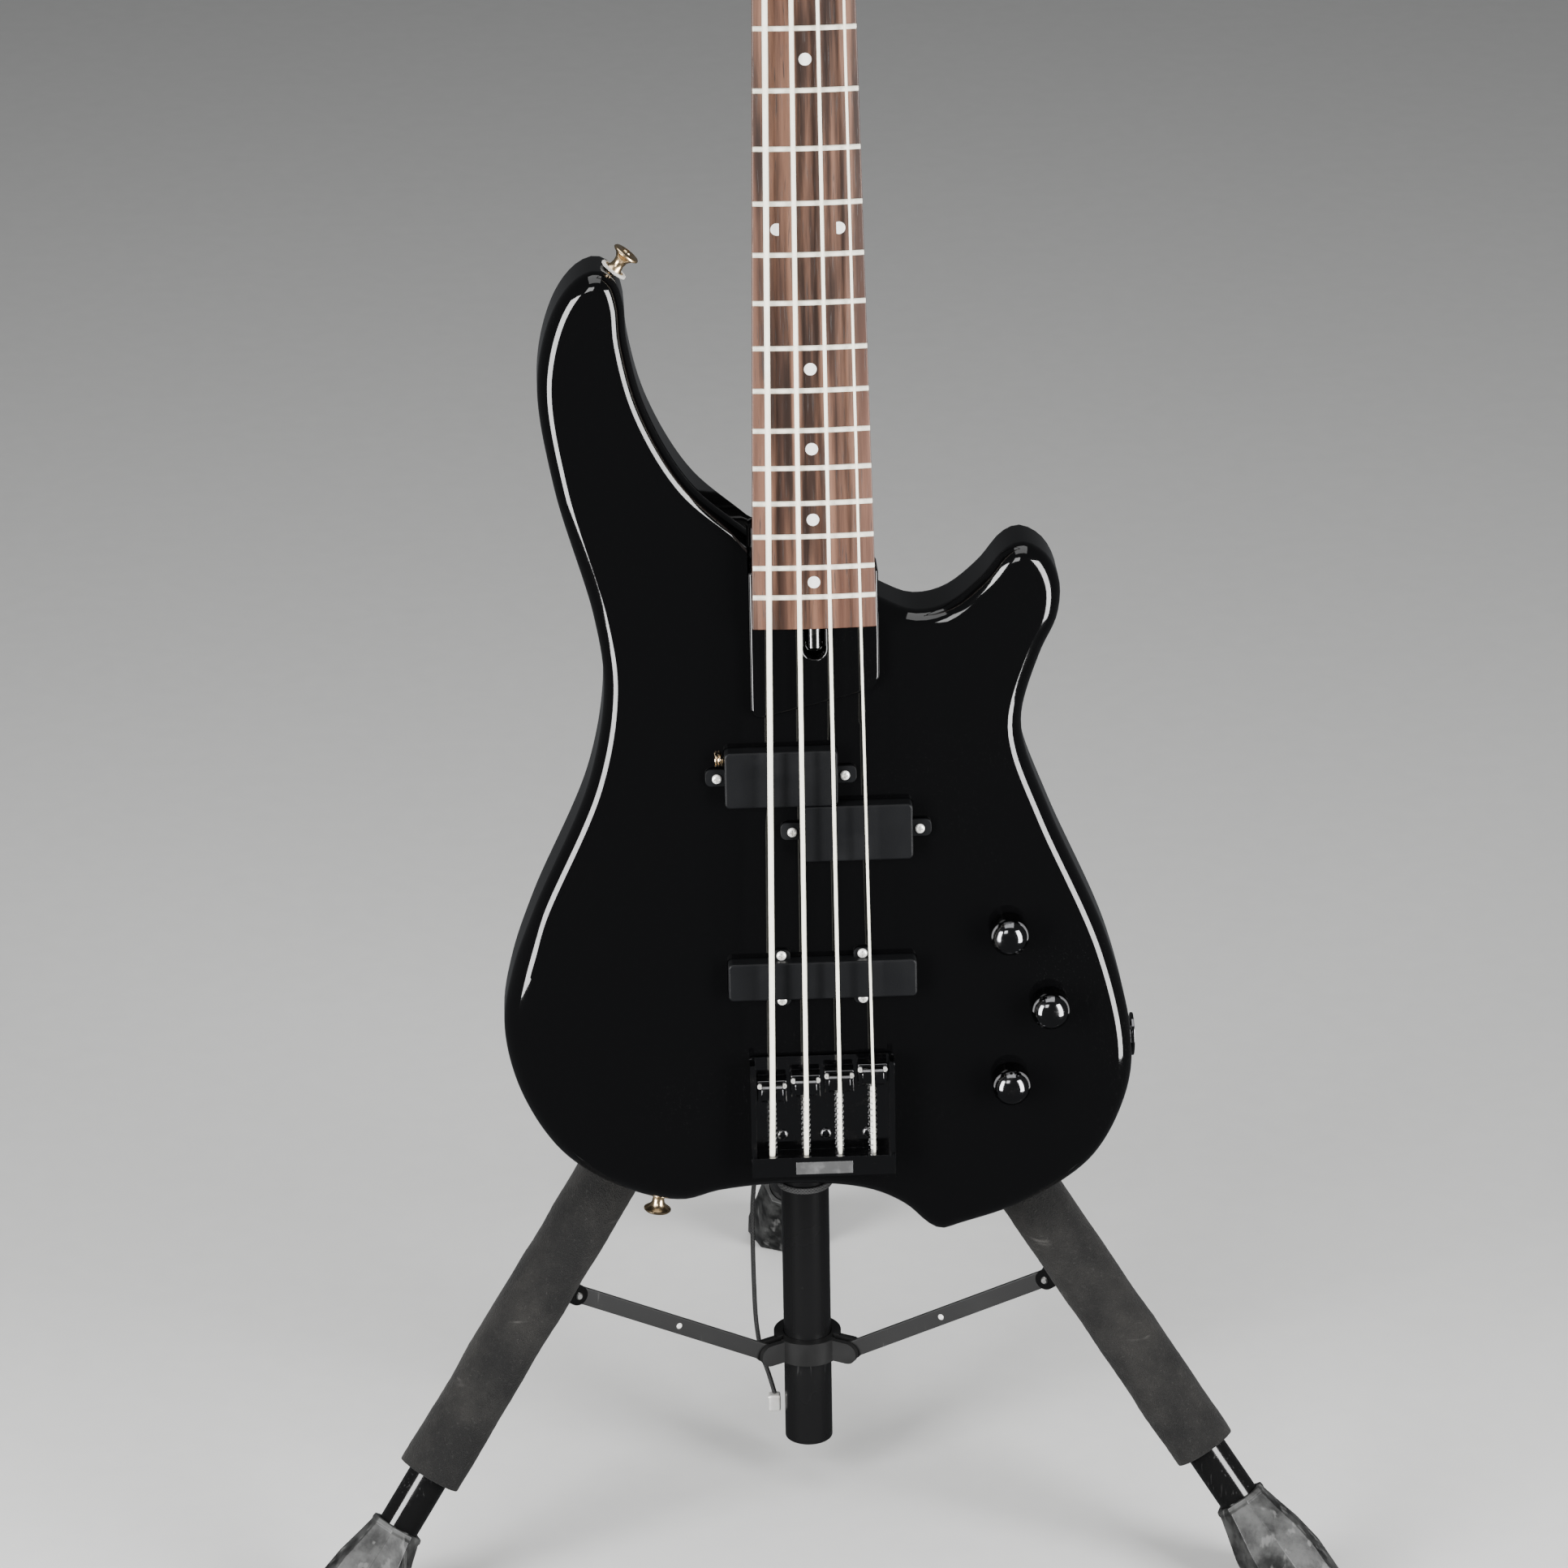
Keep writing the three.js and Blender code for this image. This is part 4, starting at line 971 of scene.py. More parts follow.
class BASS_OT_hub(BassOperator, Operator):
    """The sliding hub that carries the legs, and its clamp knob"""

    bl_idname = "bass.hub"
    bl_label = "Hub and clamp knob"

    def build(self, bass, stand):
        bore = TUBE_RADIUS + GAP
        wall = bore + 5
        hub = pipe(wall, bore, HUB_HEIGHT - HUB_SLEEVE_HALF, HUB_HEIGHT + HUB_SLEEVE_HALF)
        lips = [
            pipe(wall + 1.2, wall - 1, HUB_HEIGHT + side * (HUB_SLEEVE_HALF - 3) - 2.5,
                 HUB_HEIGHT + side * (HUB_SLEEVE_HALF - 3) + 2.5)
            for side in (-1, 1)
        ]
        inner = LEG_RADIUS + GAP
        parts = []
        for azimuth in LEGS.values():
            parts += ear_pair(bore + 1, HUB_PIVOT, HUB_HEIGHT, inner, 4, 9, azimuth)
        boss = cylinder(8, (bore + 1, 0, HUB_HEIGHT), (wall + 9, 0, HUB_HEIGHT))
        turn = Matrix.Rotation(math.radians(KNOB_ANGLE), 4, "Z")
        hub = unite(hub, *lips, *parts, move(boss, turn))
        hole = cylinder(4, (0, 0, HUB_HEIGHT), (200, 0, HUB_HEIGHT))
        tube_hole = cylinder(bore, (0, 0, 200), (0, 0, 400), 64)
        hub = round_edges(carve(hub, move(hole, turn), tube_hole), 0.7, 2)
        finish(polish(hub), "hub_moulding", "hub", FINISHES["black_plastic"], STAND, ["hub"])
        pins = [pin(3, inner + 5.5, HUB_PIVOT, HUB_HEIGHT, azimuth) for azimuth in LEGS.values()]
        finish(polish(join(pins)), "hub_pins", "hub", FINISHES["steel"], STAND)
        self.knob(wall + 9 + GAP)

    def knob(self, start):
        lobes, steps, radius, height = 5, 100, 17, 13
        outline = []
        for step in range(steps):
            angle = 2 * math.pi * step / steps
            reach = radius * (0.87 + 0.13 * math.cos(lobes * angle))
            outline.append((reach * math.cos(angle), reach * math.sin(angle)))
        face = Matrix.Translation(Vector((start + 5, 0, 0)) * MM) @ Matrix.Rotation(-math.pi / 2, 4, "Z")
        head = move(round_edges(plate(outline, 0, height), 2.2, 4, 60), face)
        dish = cylinder(8, (start + 5 + height - 1.2, 0, 0), (start + 5 + height + 2, 0, 0), 48)
        neck = cylinder(7, (start, 0, 0), (start + 6, 0, 0), 40)
        head = round_edges(carve(unite(head, neck), dish), 0.4, 2, 60)
        screw = cylinder(3.7, (TUBE_RADIUS + GAP, 0, 0), (start + 1, 0, 0), 28)
        turn = Matrix.Rotation(math.radians(KNOB_ANGLE), 4, "Z")
        place = STAND @ Matrix.Translation(Vector((0, 0, HUB_HEIGHT)) * MM) @ turn
        finish(
            polish(head), "clamp_knob_head", "clamp_knob", FINISHES["black_plastic"], place,
            ["clamp_knob"],
        )
        finish(polish(screw), "clamp_knob_screw", "clamp_knob", FINISHES["steel"], place)


class BASS_OT_collar(BassOperator, Operator):
    """The lower collar of the braces, and the clutch where the upper tube enters"""

    bl_idname = "bass.collar"
    bl_label = "Collar and clutch"

    def build(self, bass, stand):
        bore = TUBE_RADIUS + GAP
        parts, slots = [], []
        for azimuth in LEGS.values():
            parts += ear_pair(bore + 1, COLLAR_PIVOT, COLLAR_HEIGHT, SLOT_HALF, EAR, 6, azimuth)
            slot = box((bore + 1, -SLOT_HALF, 0), (200, SLOT_HALF, 200))
            slots.append(move(slot, Matrix.Rotation(math.radians(azimuth), 4, "Z")))
        ring = pipe(bore + 5, bore, COLLAR_HEIGHT - 6.5, COLLAR_HEIGHT + 6.5)
        collar = round_edges(carve(unite(ring, *parts), *slots), 0.6, 2)
        finish(
            polish(collar), "collar_moulding", "stand_tube", FINISHES["black_plastic"], STAND,
            ["lower_collar"],
        )
        self.clutch(bore)

    def clutch(self, bore):
        shoulder, half, wall = TUBE_TOP + GAP, 31, 5
        outer = bore + wall
        profile = [
            (bore, shoulder - half), (outer, shoulder - half), (outer, shoulder + half - 10),
            (MAST_RADIUS + wall, shoulder + half), (MAST_RADIUS + GAP, shoulder + half),
            (MAST_RADIUS + GAP, shoulder), (bore, shoulder), (bore, shoulder - half),
        ]
        grooves = []
        for index in range(16):
            angle = 2 * math.pi * index / 16
            x, y = (outer + 0.5) * math.cos(angle), (outer + 0.5) * math.sin(angle)
            grooves.append(cylinder(1.3, (x, y, shoulder - half + 6), (x, y, shoulder + half - 16), 12))
        clutch = round_edges(carve(lathe(profile, 64), join(grooves)), 0.5, 2, 50)
        finish(
            polish(clutch), "clutch_sleeve", "height_clutch", FINISHES["black_plastic"], STAND,
            ["height_clutch"],
        )


class BASS_OT_legs(BassOperator, Operator):
    """Leg tubes with their brackets, the braces and their rivets"""

    bl_idname = "bass.legs"
    bl_label = "Legs and braces"

    def build(self, bass, stand):
        for side in LEGS:
            self.leg(side, stand.sides)
            self.brace(side)

    def leg(self, side, sides):
        tube = round_edges(pipe(LEG_RADIUS, LEG_RADIUS - TUBE_WALL, -LEG_LENGTH, 9, sides), 0.5, 2)
        hole = cylinder(3.35, (0, -50, 0), (0, 50, 0), 28)
        tube = carve(tube, hole)
        ears = ear_pair(LEG_RADIUS - 1, LUG_OFFSET, 0, SLOT_HALF, EAR, 5.5)
        to_lug = Matrix.Translation(Vector((0, 0, -LUG_STATION)) * MM) @ Matrix.Rotation(math.pi, 4, "Z")
        ears = [move(round_edges(ear, 0.5, 2), to_lug) for ear in ears]
        rivet = pin(2, SLOT_HALF + EAR + 1, -LUG_OFFSET, -LUG_STATION)
        body = "leg_" + side
        finish(
            polish(join([tube, *ears])), "leg_tube_" + side, body, FINISHES["gloss_black"], leg_frame(side),
            ["leg_" + side],
        )
        finish(polish(rivet), "lug_rivet_" + side, body, FINISHES["steel"], leg_frame(side))

    def brace(self, side):
        sine, cosine = math.sin(LEG_ANGLE), math.cos(LEG_ANGLE)
        lug_x = HUB_PIVOT + LUG_STATION * sine - LUG_OFFSET * cosine
        lug_z = HUB_HEIGHT - LUG_STATION * cosine - LUG_OFFSET * sine
        run, drop = lug_x - COLLAR_PIVOT, lug_z - COLLAR_HEIGHT
        length, angle = math.hypot(run, drop), math.atan2(run, drop)
        half = 4.5
        outline = arc(0, -length, half, 180, 360, 14) + arc(0, 0, half, 0, 180, 14)
        bar = plate(outline, -1.5, 1.5)
        holes = [cylinder(2.35, (0, -9, z), (0, 9, z), 24) for z in (0, -length)]
        bar = round_edges(carve(bar, *holes), 0.45, 2)
        out = STAND @ Matrix.Rotation(math.radians(LEGS[side]), 4, "Z")
        place = out @ Matrix.Translation(Vector((lug_x, 0, lug_z)) * MM) @ Matrix.Rotation(angle, 4, "Y")
        body = "brace_" + side
        finish(
            polish(bar), "brace_bar_" + side, body, FINISHES["worn_black"], place, [body]
        )
        middle = pin(1.6, 2.2, 0, -length * 0.53)
        finish(polish(middle), "brace_rivet_" + side, body, FINISHES["bright_metal"], place)


def foam_tube(outer, inner, low, high, lumps, seed):
    """A foam tube about Z, softly uneven, with cut ends."""
    rows = max(6, round((high - low) / 3))
    edge = 0.8
    steps = [low + edge + (high - low - 2 * edge) * row / rows for row in range(rows + 1)]
    profile = [(inner, low), (outer - edge, low), (outer - 0.2, low + 0.25 * edge)]
    profile += [(outer, height) for height in steps]
    profile += [(outer - 0.2, high - 0.25 * edge), (outer - edge, high), (inner, high), (inner, low)]
    tube = lathe(profile, 96)
    offset = Vector((seed * 7.3, seed * 3.1, 0))
    for vertex in tube.data.vertices:
        flat = Vector((vertex.co.x, vertex.co.y, 0))
        if flat.length > (inner + 2) * MM:
            slow = noise.noise(vertex.co * 45 + offset)
            fine = noise.noise(vertex.co * 420 + offset)
            vertex.co += flat.normalized() * lumps * (slow + 0.28 * fine)
    return tube


class BASS_OT_foam(BassOperator, Operator):
    """Foam sleeves on the front legs and foam pads on the yoke"""

    bl_idname = "bass.foam"
    bl_label = "Foam"

    def build(self, bass, stand):
        for seed, side in enumerate(("left", "right")):
            sleeve = foam_tube(
                SLEEVE_RADIUS - 0.3, LEG_RADIUS + GAP, -SLEEVE_END, -SLEEVE_START, stand.foam_lumps, seed
            )
            slot_half = SLOT_HALF + EAR + 2
            slot = box((-60, -slot_half, -LUG_STATION - 14), (0, slot_half, -LUG_STATION + 14))
            sleeve = carve(sleeve, round_edges(slot, 1.5, 2))
            node = "foam_sleeve_" + side
            finish(
                polish(sleeve, 50), "foam_" + side, "leg_" + side, FINISHES["foam"], leg_frame(side),
                [node],
            )
            self.pad("yoke_pad_" + side, seed + 2, stand.foam_lumps)

    def pad(self, node, seed, lumps):
        low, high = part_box(node)
        half = (high.y - low.y) / 2 / MM
        pad = foam_tube(9.8, YOKE_ROD + GAP, -half, half, lumps * 0.5, seed)
        place = Matrix.Translation((low + high) / 2) @ Matrix.Rotation(math.pi / 2, 4, "X")
        finish(polish(pad, 50), "foam_" + node, "upper_tube", FINISHES["foam"], place, [node])


class BASS_OT_boots(BassOperator, Operator):
    """Faceted rubber boots, cut flat by the floor"""

    bl_idname = "bass.boots"
    bl_label = "Boots"

    def build(self, bass, stand):
        rim = LEG_RADIUS + GAP + 2.6
        widest = rim + 9
        end = HUB_HEIGHT / math.cos(LEG_ANGLE) + 30
        for side in LEGS:
            profile = [
                (0, -end), (widest, -end), (widest, -LEG_LENGTH + 5), (rim + 6.4, -BOOT_START - 26),
                (rim + 2.6, -BOOT_START - 12), (rim + 0.4, -BOOT_START - 3.2),
                (rim + 0.9, -BOOT_START - 2.4), (rim + 0.4, -BOOT_START), (0, -BOOT_START),
            ]
            boot = lathe(profile, 8)
            below = box((-300, -200, -HUB_HEIGHT - 200), (600, 200, -HUB_HEIGHT))
            boot = carve(boot, move(below, Matrix.Rotation(LEG_ANGLE, 4, "Y")))
            boot = round_edges(boot, 1.1, 3, 20)
            bore = cylinder(LEG_RADIUS + GAP, (0, 0, -LEG_LENGTH - GAP), (0, 0, 0), 64)
            boot = carve(boot, bore)
            finish(
                polish(boot, 30), "boot_" + side, "leg_" + side, FINISHES["boot_rubber"], leg_frame(side),
                ["foot_" + side],
            )


def bent_line(corners, bend, steps=8):
    """Points along straight stretches with a smooth bend at each inner corner."""
    points = [Vector(corners[0])]
    for before, corner, after in zip(corners, corners[1:], corners[2:]):
        corner = Vector(corner)
        start = corner + (Vector(before) - corner).normalized() * bend
        end = corner + (Vector(after) - corner).normalized() * bend
        for step in range(steps + 1):
            t = step / steps
            points.append(start.lerp(corner, t).lerp(corner.lerp(end, t), t))
    return [*points, Vector(corners[-1])]


class BASS_OT_yoke(BassOperator, Operator):
    """The yoke that holds the headstock"""

    bl_idname = "bass.yoke"
    bl_label = "Yoke"

    def build(self, bass, stand):
        low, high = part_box("yoke_pad_left")
        z = (low.z + high.z) / 2 / MM
        middle = GUITAR.translation.x / MM
        back = (STAND.inverted() @ GUITAR @ (Vector((0, HEAD_BACK, SCALE_LENGTH + 0.2)) * MM)).y / MM + 8
        tip = back - 60.6

        def side(sign):
            x = middle + sign * YOKE_ARM_HALF
            return [(x, tip, z + 16), (x, tip, z), (x, back, z)]

        fork = rod_along(bent_line([*side(-1), *reversed(side(1))], 9), YOKE_ROD, 6)
        caps = [
            lathe([(0, 4.6), (2.4, 4.1), (4.4, 2.4), (5.6, 0), (5.6, -7), (0, -7)], 32) for _ in range(2)
        ]
        for sign, cap in zip((-1, 1), caps):
            move(cap, Matrix.Translation(Vector((middle + sign * YOKE_ARM_HALF, tip, z + 15)) * MM))
        mast_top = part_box("upper_tube")[1].z / MM
        socket = cylinder(MAST_RADIUS + 3.8, (0, 0, z - 22), (0, 0, mast_top + 3.8), 64)
        stem = box((-7, back - 2, z - 6), (7 + middle, -MAST_RADIUS, z + 6))
        bore = cylinder(MAST_RADIUS + GAP, (0, 0, z - 30), (0, 0, mast_top + GAP), 64)
        yoke = carve(unite(socket, round_edges(stem, 2, 3), fork), bore)
        finish(
            polish(round_edges(yoke, 0.5, 2, 50)), "yoke_frame", "upper_tube", FINISHES["satin_black"],
            STAND, ["yoke"],
        )
        finish(
            polish(join(caps)), "yoke_caps", "upper_tube", FINISHES["black_plastic"], STAND
        )


# ------------------------------------------------------------------ guitar

UPPER_HORN = [
    (-31, 285), (-59, 311), (-80, 350), (-88.5, 385), (-90, 405), (-94, 416), (-102, 421),
    (-112, 417.5), (-124, 402), (-133, 366),
]
BASS_SIDE = [
    (-126.5, 311), (-108.5, 242), (-104.7, 206), (-113.5, 156), (-143.5, 87), (-155.5, 52),
    (-160, 22), (-152, -16), (-131, -50), (-99, -69.5),
]
TAIL_EDGE = [
    (-72, -75.3), (-52, -69.5), (-10, -67), (24, -71.6), (42, -80.6), (54, -92), (60.5, -95),
    (70, -92.5), (104, -81),
]
TREBLE_SIDE = [
    (138, -57.7), (155, -25), (158.7, 4), (147.5, 59), (118.1, 131), (104.5, 170), (103.6, 187),
    (112.8, 217.5), (121.5, 237), (122.5, 255),
]
LOWER_HORN = [(116, 269), (105, 275.5), (96, 272.5), (83, 257.5), (66, 244.5), (50, 241.8), (31, 250)]
BODY_OUTLINE = UPPER_HORN + BASS_SIDE + TAIL_EDGE + TREBLE_SIDE + LOWER_HORN
FOREARM_CREASE = [
    (-138, 122), (-139, 80), (-137, 50), (-126.6, 21.7), (-92.5, -38.2), (-79.2, -52.3), (-55, -64),
    (-30, -74),
]
HEADSTOCK = [
    (-19, 0), (-25, 9), (-39, 24), (-45, 40), (-41, 66), (-28, 130), (-19, 172), (-12, 188), (2, 197),
    (18, 194), (28, 181), (34, 150), (36.5, 100), (36, 55), (33, 26), (25, 11), (19, 0),
]


def reshape(piece, place):
    """Moves every vertex to place(x, y, z), in millimetres."""
    for vertex in piece.data.vertices:
        vertex.co = Vector(place(*(vertex.co / MM))) * MM
    return close_up(piece)


def screws(radius, places, direction=(0, -1, 0)):
    """Domed screw heads with crossed slots, sitting on the places."""
    height = radius * 0.62
    profile = [(0, -0.4), (radius, -0.4), (radius, height * 0.3)]
    profile += [(radius * math.cos(a), height * (0.3 + 0.7 * math.sin(a))) for a in (0.4, 0.8, 1.2)]
    head = lathe([*profile, (0, height)], 32)
    long, thin = radius * 0.62, radius * 0.16
    slots = [box((-long, -thin, height * 0.2), (long, thin, radius)) for _ in range(2)]
    move(slots[1], Matrix.Rotation(math.pi / 2, 4, "Z"))
    head = carve(head, *slots)
    heads = [copy_at(head, pointing(place, direction)) for place in places]
    bpy.data.objects.remove(head)
    return join(heads)


def helix(radius, start, end, turns, wire_radius, axis_matrix=None, steps=14):
    """A coil about Z, from one height to another."""
    count = max(2, round(turns * steps))
    points = []
    for step in range(count + 1):
        angle = 2 * math.pi * turns * step / count
        height = start + (end - start) * step / count
        points.append((radius * math.cos(angle), radius * math.sin(angle), height))
    coil = rod_along(points, wire_radius, 2)
    return move(coil, axis_matrix) if axis_matrix else coil


def on_guitar(piece, name, finish_name, replaces=(), body="guitar", place=None):
    return finish(piece, name, body, FINISHES[finish_name], place or GUITAR, replaces)


def heel_outline(margin=0):
    half = 32 + margin
    bass, treble = 190 - margin, 205 - margin
    slant = 7 * (treble - bass) / 64
    points = [(half, HEEL_TOP), (-half, HEEL_TOP)]
    corners = [
        ((-half, bass + 7), (-half, bass), (-half + 7, bass + slant)),
        ((half - 9, treble - slant), (half, treble), (half, treble + 9)),
    ]
    for start, corner, end in corners:
        start, corner, end = Vector(start), Vector(corner), Vector(end)
        for step in range(9):
            t = step / 8
            points.append(start.lerp(corner, t).lerp(corner.lerp(end, t), t))
    return points


class BASS_OT_body(BassOperator, Operator):
    """The body: outline, rounded edges, forearm contour and cavities"""

    bl_idname = "bass.body"
    bl_label = "Body"

    def build(self, bass, stand):
        body = plate(smooth_path(BODY_OUTLINE, 320), 0, BODY_DEPTH)
        body = round_edges(body, bass.body_edge / MM, 8, 60)
        self.cut_rows(body)
        self.drop(body, bass.forearm_drop)
        body = carve(body, *self.cavities())
        on_guitar(polish(body, 40), "body_blank", "lacquer", ["body"])

    def cut_rows(self, body):
        """Rows of edges, so that the face can bend beyond the crease."""
        across = Vector((-0.787, 0, -0.617))
        along = Vector((across.z, 0, -across.x))
        start = Vector((-104, 0, -9))
        rows = [(start + across * 3 * step, across) for step in range(-3, 28)]
        rows += [(start + along * 4 * step, along) for step in range(-24, 46)]
        for place, normal in rows:
            select_faces(body, lambda face: face.normal.y < -0.999)
            bpy.ops.mesh.bisect(plane_co=place * MM, plane_no=normal)
            stop_editing()

    def drop(self, body, depth):
        """Lets the face fall away smoothly beyond the crease."""
        across, along = Vector((-0.787, -0.617)), Vector((-0.617, 0.787))
        line = [point.to_2d() for point in smooth_path(FOREARM_CREASE, 60)]
        crease = sorted((along.dot(point), across.dot(point)) for point in line)
        slope, soft = depth / MM / 48, 9
        for vertex in body.data.vertices:
            flat = Vector((vertex.co.x, vertex.co.z)) / MM
            u, v = along.dot(flat), across.dot(flat)
            near = min(max(u, crease[0][0]), crease[-1][0] - 0.001)
            for (u1, v1), (u2, v2) in zip(crease, crease[1:]):
                if u1 <= near < u2:
                    beyond = v - (v1 + (v2 - v1) * (near - u1) / (u2 - u1))
            if beyond > 0:
                share = 1 - vertex.co.y / MM / BODY_DEPTH
                vertex.co.y += slope * (math.hypot(beyond, soft) - soft) * share * MM

    def cavities(self):
        pocket = NECK_TOP + 21 + GAP
        tools = [
            plate(rectangle_at(place, SPLIT_SIZE, 2, GAP), -1, 10.3) for place in SPLIT_PICKUPS.values()
        ]
        tools.append(plate(rectangle_at(BAR_PICKUP, BAR_SIZE, 2, GAP), -1, 10.3))
        tools.append(plate(heel_outline(GAP), -1, pocket))
        tools.append(box((-32 - GAP, -1, HEEL_TOP - 1), (32 + GAP, pocket, 400)))
        tools.append(plate(rounded_rectangle(COVER_LOW, COVER_HIGH, 14, GAP), BODY_DEPTH - 2.3, 46))
        tools.append(plate(rectangle_at((0, NECK_PLATE_Z), (62, 50), 5, GAP), BODY_DEPTH - 2.3, 46))
        for x, z in CONTROLS.values():
            tools.append(cylinder(3.6, (x, -1, z), (x, 24, z), 32))
        x, y, z = JACK_PLACE
        tools.append(cylinder(6.3, (x - 25, y, z), (x + 9, y, z), 48))
        return tools


class BASS_OT_neck(BassOperator, Operator):
    """Neck and headstock, with the truss rod"""

    bl_idname = "bass.neck"
    bl_label = "Neck"

    def build(self, bass, stand):
        heel = plate(heel_outline(), NECK_TOP, NECK_TOP + 21)
        notch = plate(rounded_rectangle((-5.2, 222), (5.2, 242), 5), -30, 4.6)
        heel = round_edges(carve(heel, notch), 1.6, 5, 60)
        head_points = smooth_path([(x, SCALE_LENGTH + z) for x, z in HEADSTOCK], 140)
        head = round_edges(plate(head_points, HEAD_FRONT, HEAD_BACK), 2, 4, 60)
        throat = box((-NUT_HALF, NECK_TOP, 850), (NUT_HALF, HEAD_BACK - 2, 870))
        throat = round_edges(throat, 1.5, 3)
        channel = box((-3.1, -30, 241), (3.1, 4, 844))
        posts = []
        for index in range(4):
            x, z = post_place(index)
            posts.append(cylinder(POST_RADIUS + GAP, (x, -30, z), (x, 40, z), 48))
        neck = carve(unite(self.shaft(), heel, throat, head), channel, *posts)
        on_guitar(polish(neck, 40), "neck_wood", "lacquer", ["neck"])
        nut_end = [(0, 229.5), (1.9, 229.5), (1.9, 227), (3.6, 227), (4, 227.5), (4, 237.5), (3.6, 238)]
        rod = lathe([*nut_end, (2.8, 238), (2.8, 840), (0, 840)], 32)
        move(rod, Matrix.Translation((0, -0.4 * MM, 0)))
        on_guitar(polish(rod), "truss_rod_steel", "black_chrome", ["truss_rod"])

    def shaft(self):
        section = arc(0, 0, 1, 0, 180, 32)
        bar = plate([(x * 100, z * 100) for x, z in section], 0, 100)

        def place(x, y, z):
            along = 256 + (SCALE_LENGTH + 2 - 256) * y / 100
            depth = 18 - 3 * (along - 256) / (SCALE_LENGTH - 256)
            return x / 100 * neck_half(along), NECK_TOP + z / 100 * depth, along

        return reshape(bar, place)


class BASS_OT_fingerboard(BassOperator, Operator):
    """Fingerboard, frets, position dots and nut"""

    bl_idname = "bass.fingerboard"
    bl_label = "Fingerboard"

    def build(self, bass, stand):
        section = [(100, 0), (-100, 0)]
        section += [(x * 10, BOARD_THICKNESS - BOARD_CAMBER * x * x / 100) for x in range(-10, 11)]
        board = plate(section, 0, 100)

        def place(x, y, z):
            along = BOARD_END + (SCALE_LENGTH - GAP - BOARD_END) * y / 100
            return x / 100 * neck_half(along), NECK_TOP - GAP - z, along

        board = round_edges(reshape(board, place), 0.5, 3)
        on_guitar(polish(board), "fingerboard_wood", "rosewood", ["fingerboard"])
        frets = [self.fret(number, bass) for number in range(1, bass.fret_count + 1)]
        on_guitar(polish(join(frets)), "frets", "fret_wire")
        self.dots(bass.dot_radius / MM)
        self.nut()

    def surface(self, x, half):
        return NECK_TOP - GAP - BOARD_THICKNESS + BOARD_CAMBER * (x / half) ** 2

    def fret(self, number, bass):
        z = fret_place(number)
        half = neck_half(z)
        width, height = bass.fret_width / MM / 2, bass.fret_height / MM
        section = [(width, -1), (-width, -1), *reversed(arc(0, 0, 1, 0, 180, 10))]
        section = section[:2] + [(-x * width, y * height) for x, y in section[2:]]
        bar = plate(section, -10, 10)
        for cut in range(-8, 9, 2):
            edit(bar)
            bpy.ops.mesh.select_all(action="SELECT")
            bpy.ops.mesh.bisect(plane_co=(0, cut * MM, 0), plane_no=(0, 1, 0))
            stop_editing()

        def place(x, y, height_above):
            side = y / 10 * (half - 0.15)
            return side, self.surface(side, half) - height_above, z + x

        return reshape(bar, place)

    def dots(self, radius):
        places = []
        for number in (3, 5, 7, 9, 12, 15, 17, 19, 21):
            z = (fret_place(number) + fret_place(number - 1)) / 2
            places += [(-15, z), (15, z)] if number == 12 else [(0, z)]
        dots = []
        for x, z in places:
            top = self.surface(x, neck_half(z)) - 0.06
            dots.append(cylinder(radius, (x, top + 1, z), (x, top, z), 40))
        on_guitar(polish(join(dots)), "position_dots", "dot_inlay")

    def nut(self):
        outline = rounded_rectangle((-NUT_HALF, SCALE_LENGTH), (NUT_HALF, SCALE_LENGTH + 4), 0.6)
        nut = round_edges(plate(outline, -14, NECK_TOP - GAP), 0.5, 3, 60)
        slots = []
        for index, radius in enumerate(STRING_RADII):
            x, half = string_x(index, SCALE_LENGTH), radius + 0.35
            low, high = (x - half, -40, SCALE_LENGTH - 9), (x + half, -12.8 + half, SCALE_LENGTH + 9)
            slots.append(box(low, high))
        on_guitar(polish(carve(nut, *slots)), "nut_bone", "bone", ["nut"])


class BASS_OT_strings(BassOperator, Operator):
    """Four wound strings, from their ball ends to the turns on the posts"""

    bl_idname = "bass.strings"
    bl_label = "Strings"

    def build(self, bass, stand):
        for index, name in enumerate(STRING_NAMES):
            self.string(index, name)

    def string(self, index, name):
        radius = STRING_RADII[index]
        middle = SADDLE_Z[index] - 2
        post_x, post_z = post_place(index)
        reach = POST_RADIUS + radius + GAP
        tail = string_x(index, BRIDGE_WALL)
        bends = [
            Vector((tail, -TAIL_HEIGHT, BRIDGE_WALL - 6)),
            Vector((tail, -TAIL_HEIGHT, BRIDGE_WALL + 1)),
            Vector((string_x(index, middle), -SADDLE_HEIGHT, middle - 5.4)),
            Vector((string_x(index, SCALE_LENGTH), -12.8, SCALE_LENGTH + 4.6)),
            Vector((post_x + reach, -4, post_z)),
        ]
        turns = []
        for step in range(1, 51):
            angle = 2 * math.pi * 2.6 * step / 50
            depth = -4 + (2.4 * radius) * 2.6 * step / 50
            across, up = reach * math.cos(angle), reach * math.sin(angle)
            turns.append((post_x + across, min(depth, 0), post_z + up))
        line = rod_along([*bent_line(bends, 1.6, 4), *turns[:40]], radius, 4)
        ball_place = (tail, -TAIL_HEIGHT, BRIDGE_WALL - 5.4)
        ball = cylinder(2.6, ball_place, (tail, -TAIL_HEIGHT, BRIDGE_WALL - 8.2), 32)
        piece = join([polish(line), polish(round_edges(ball, 0.4, 2))])
        on_guitar(piece, "string_line_" + name, "string_steel", ["string_" + name])


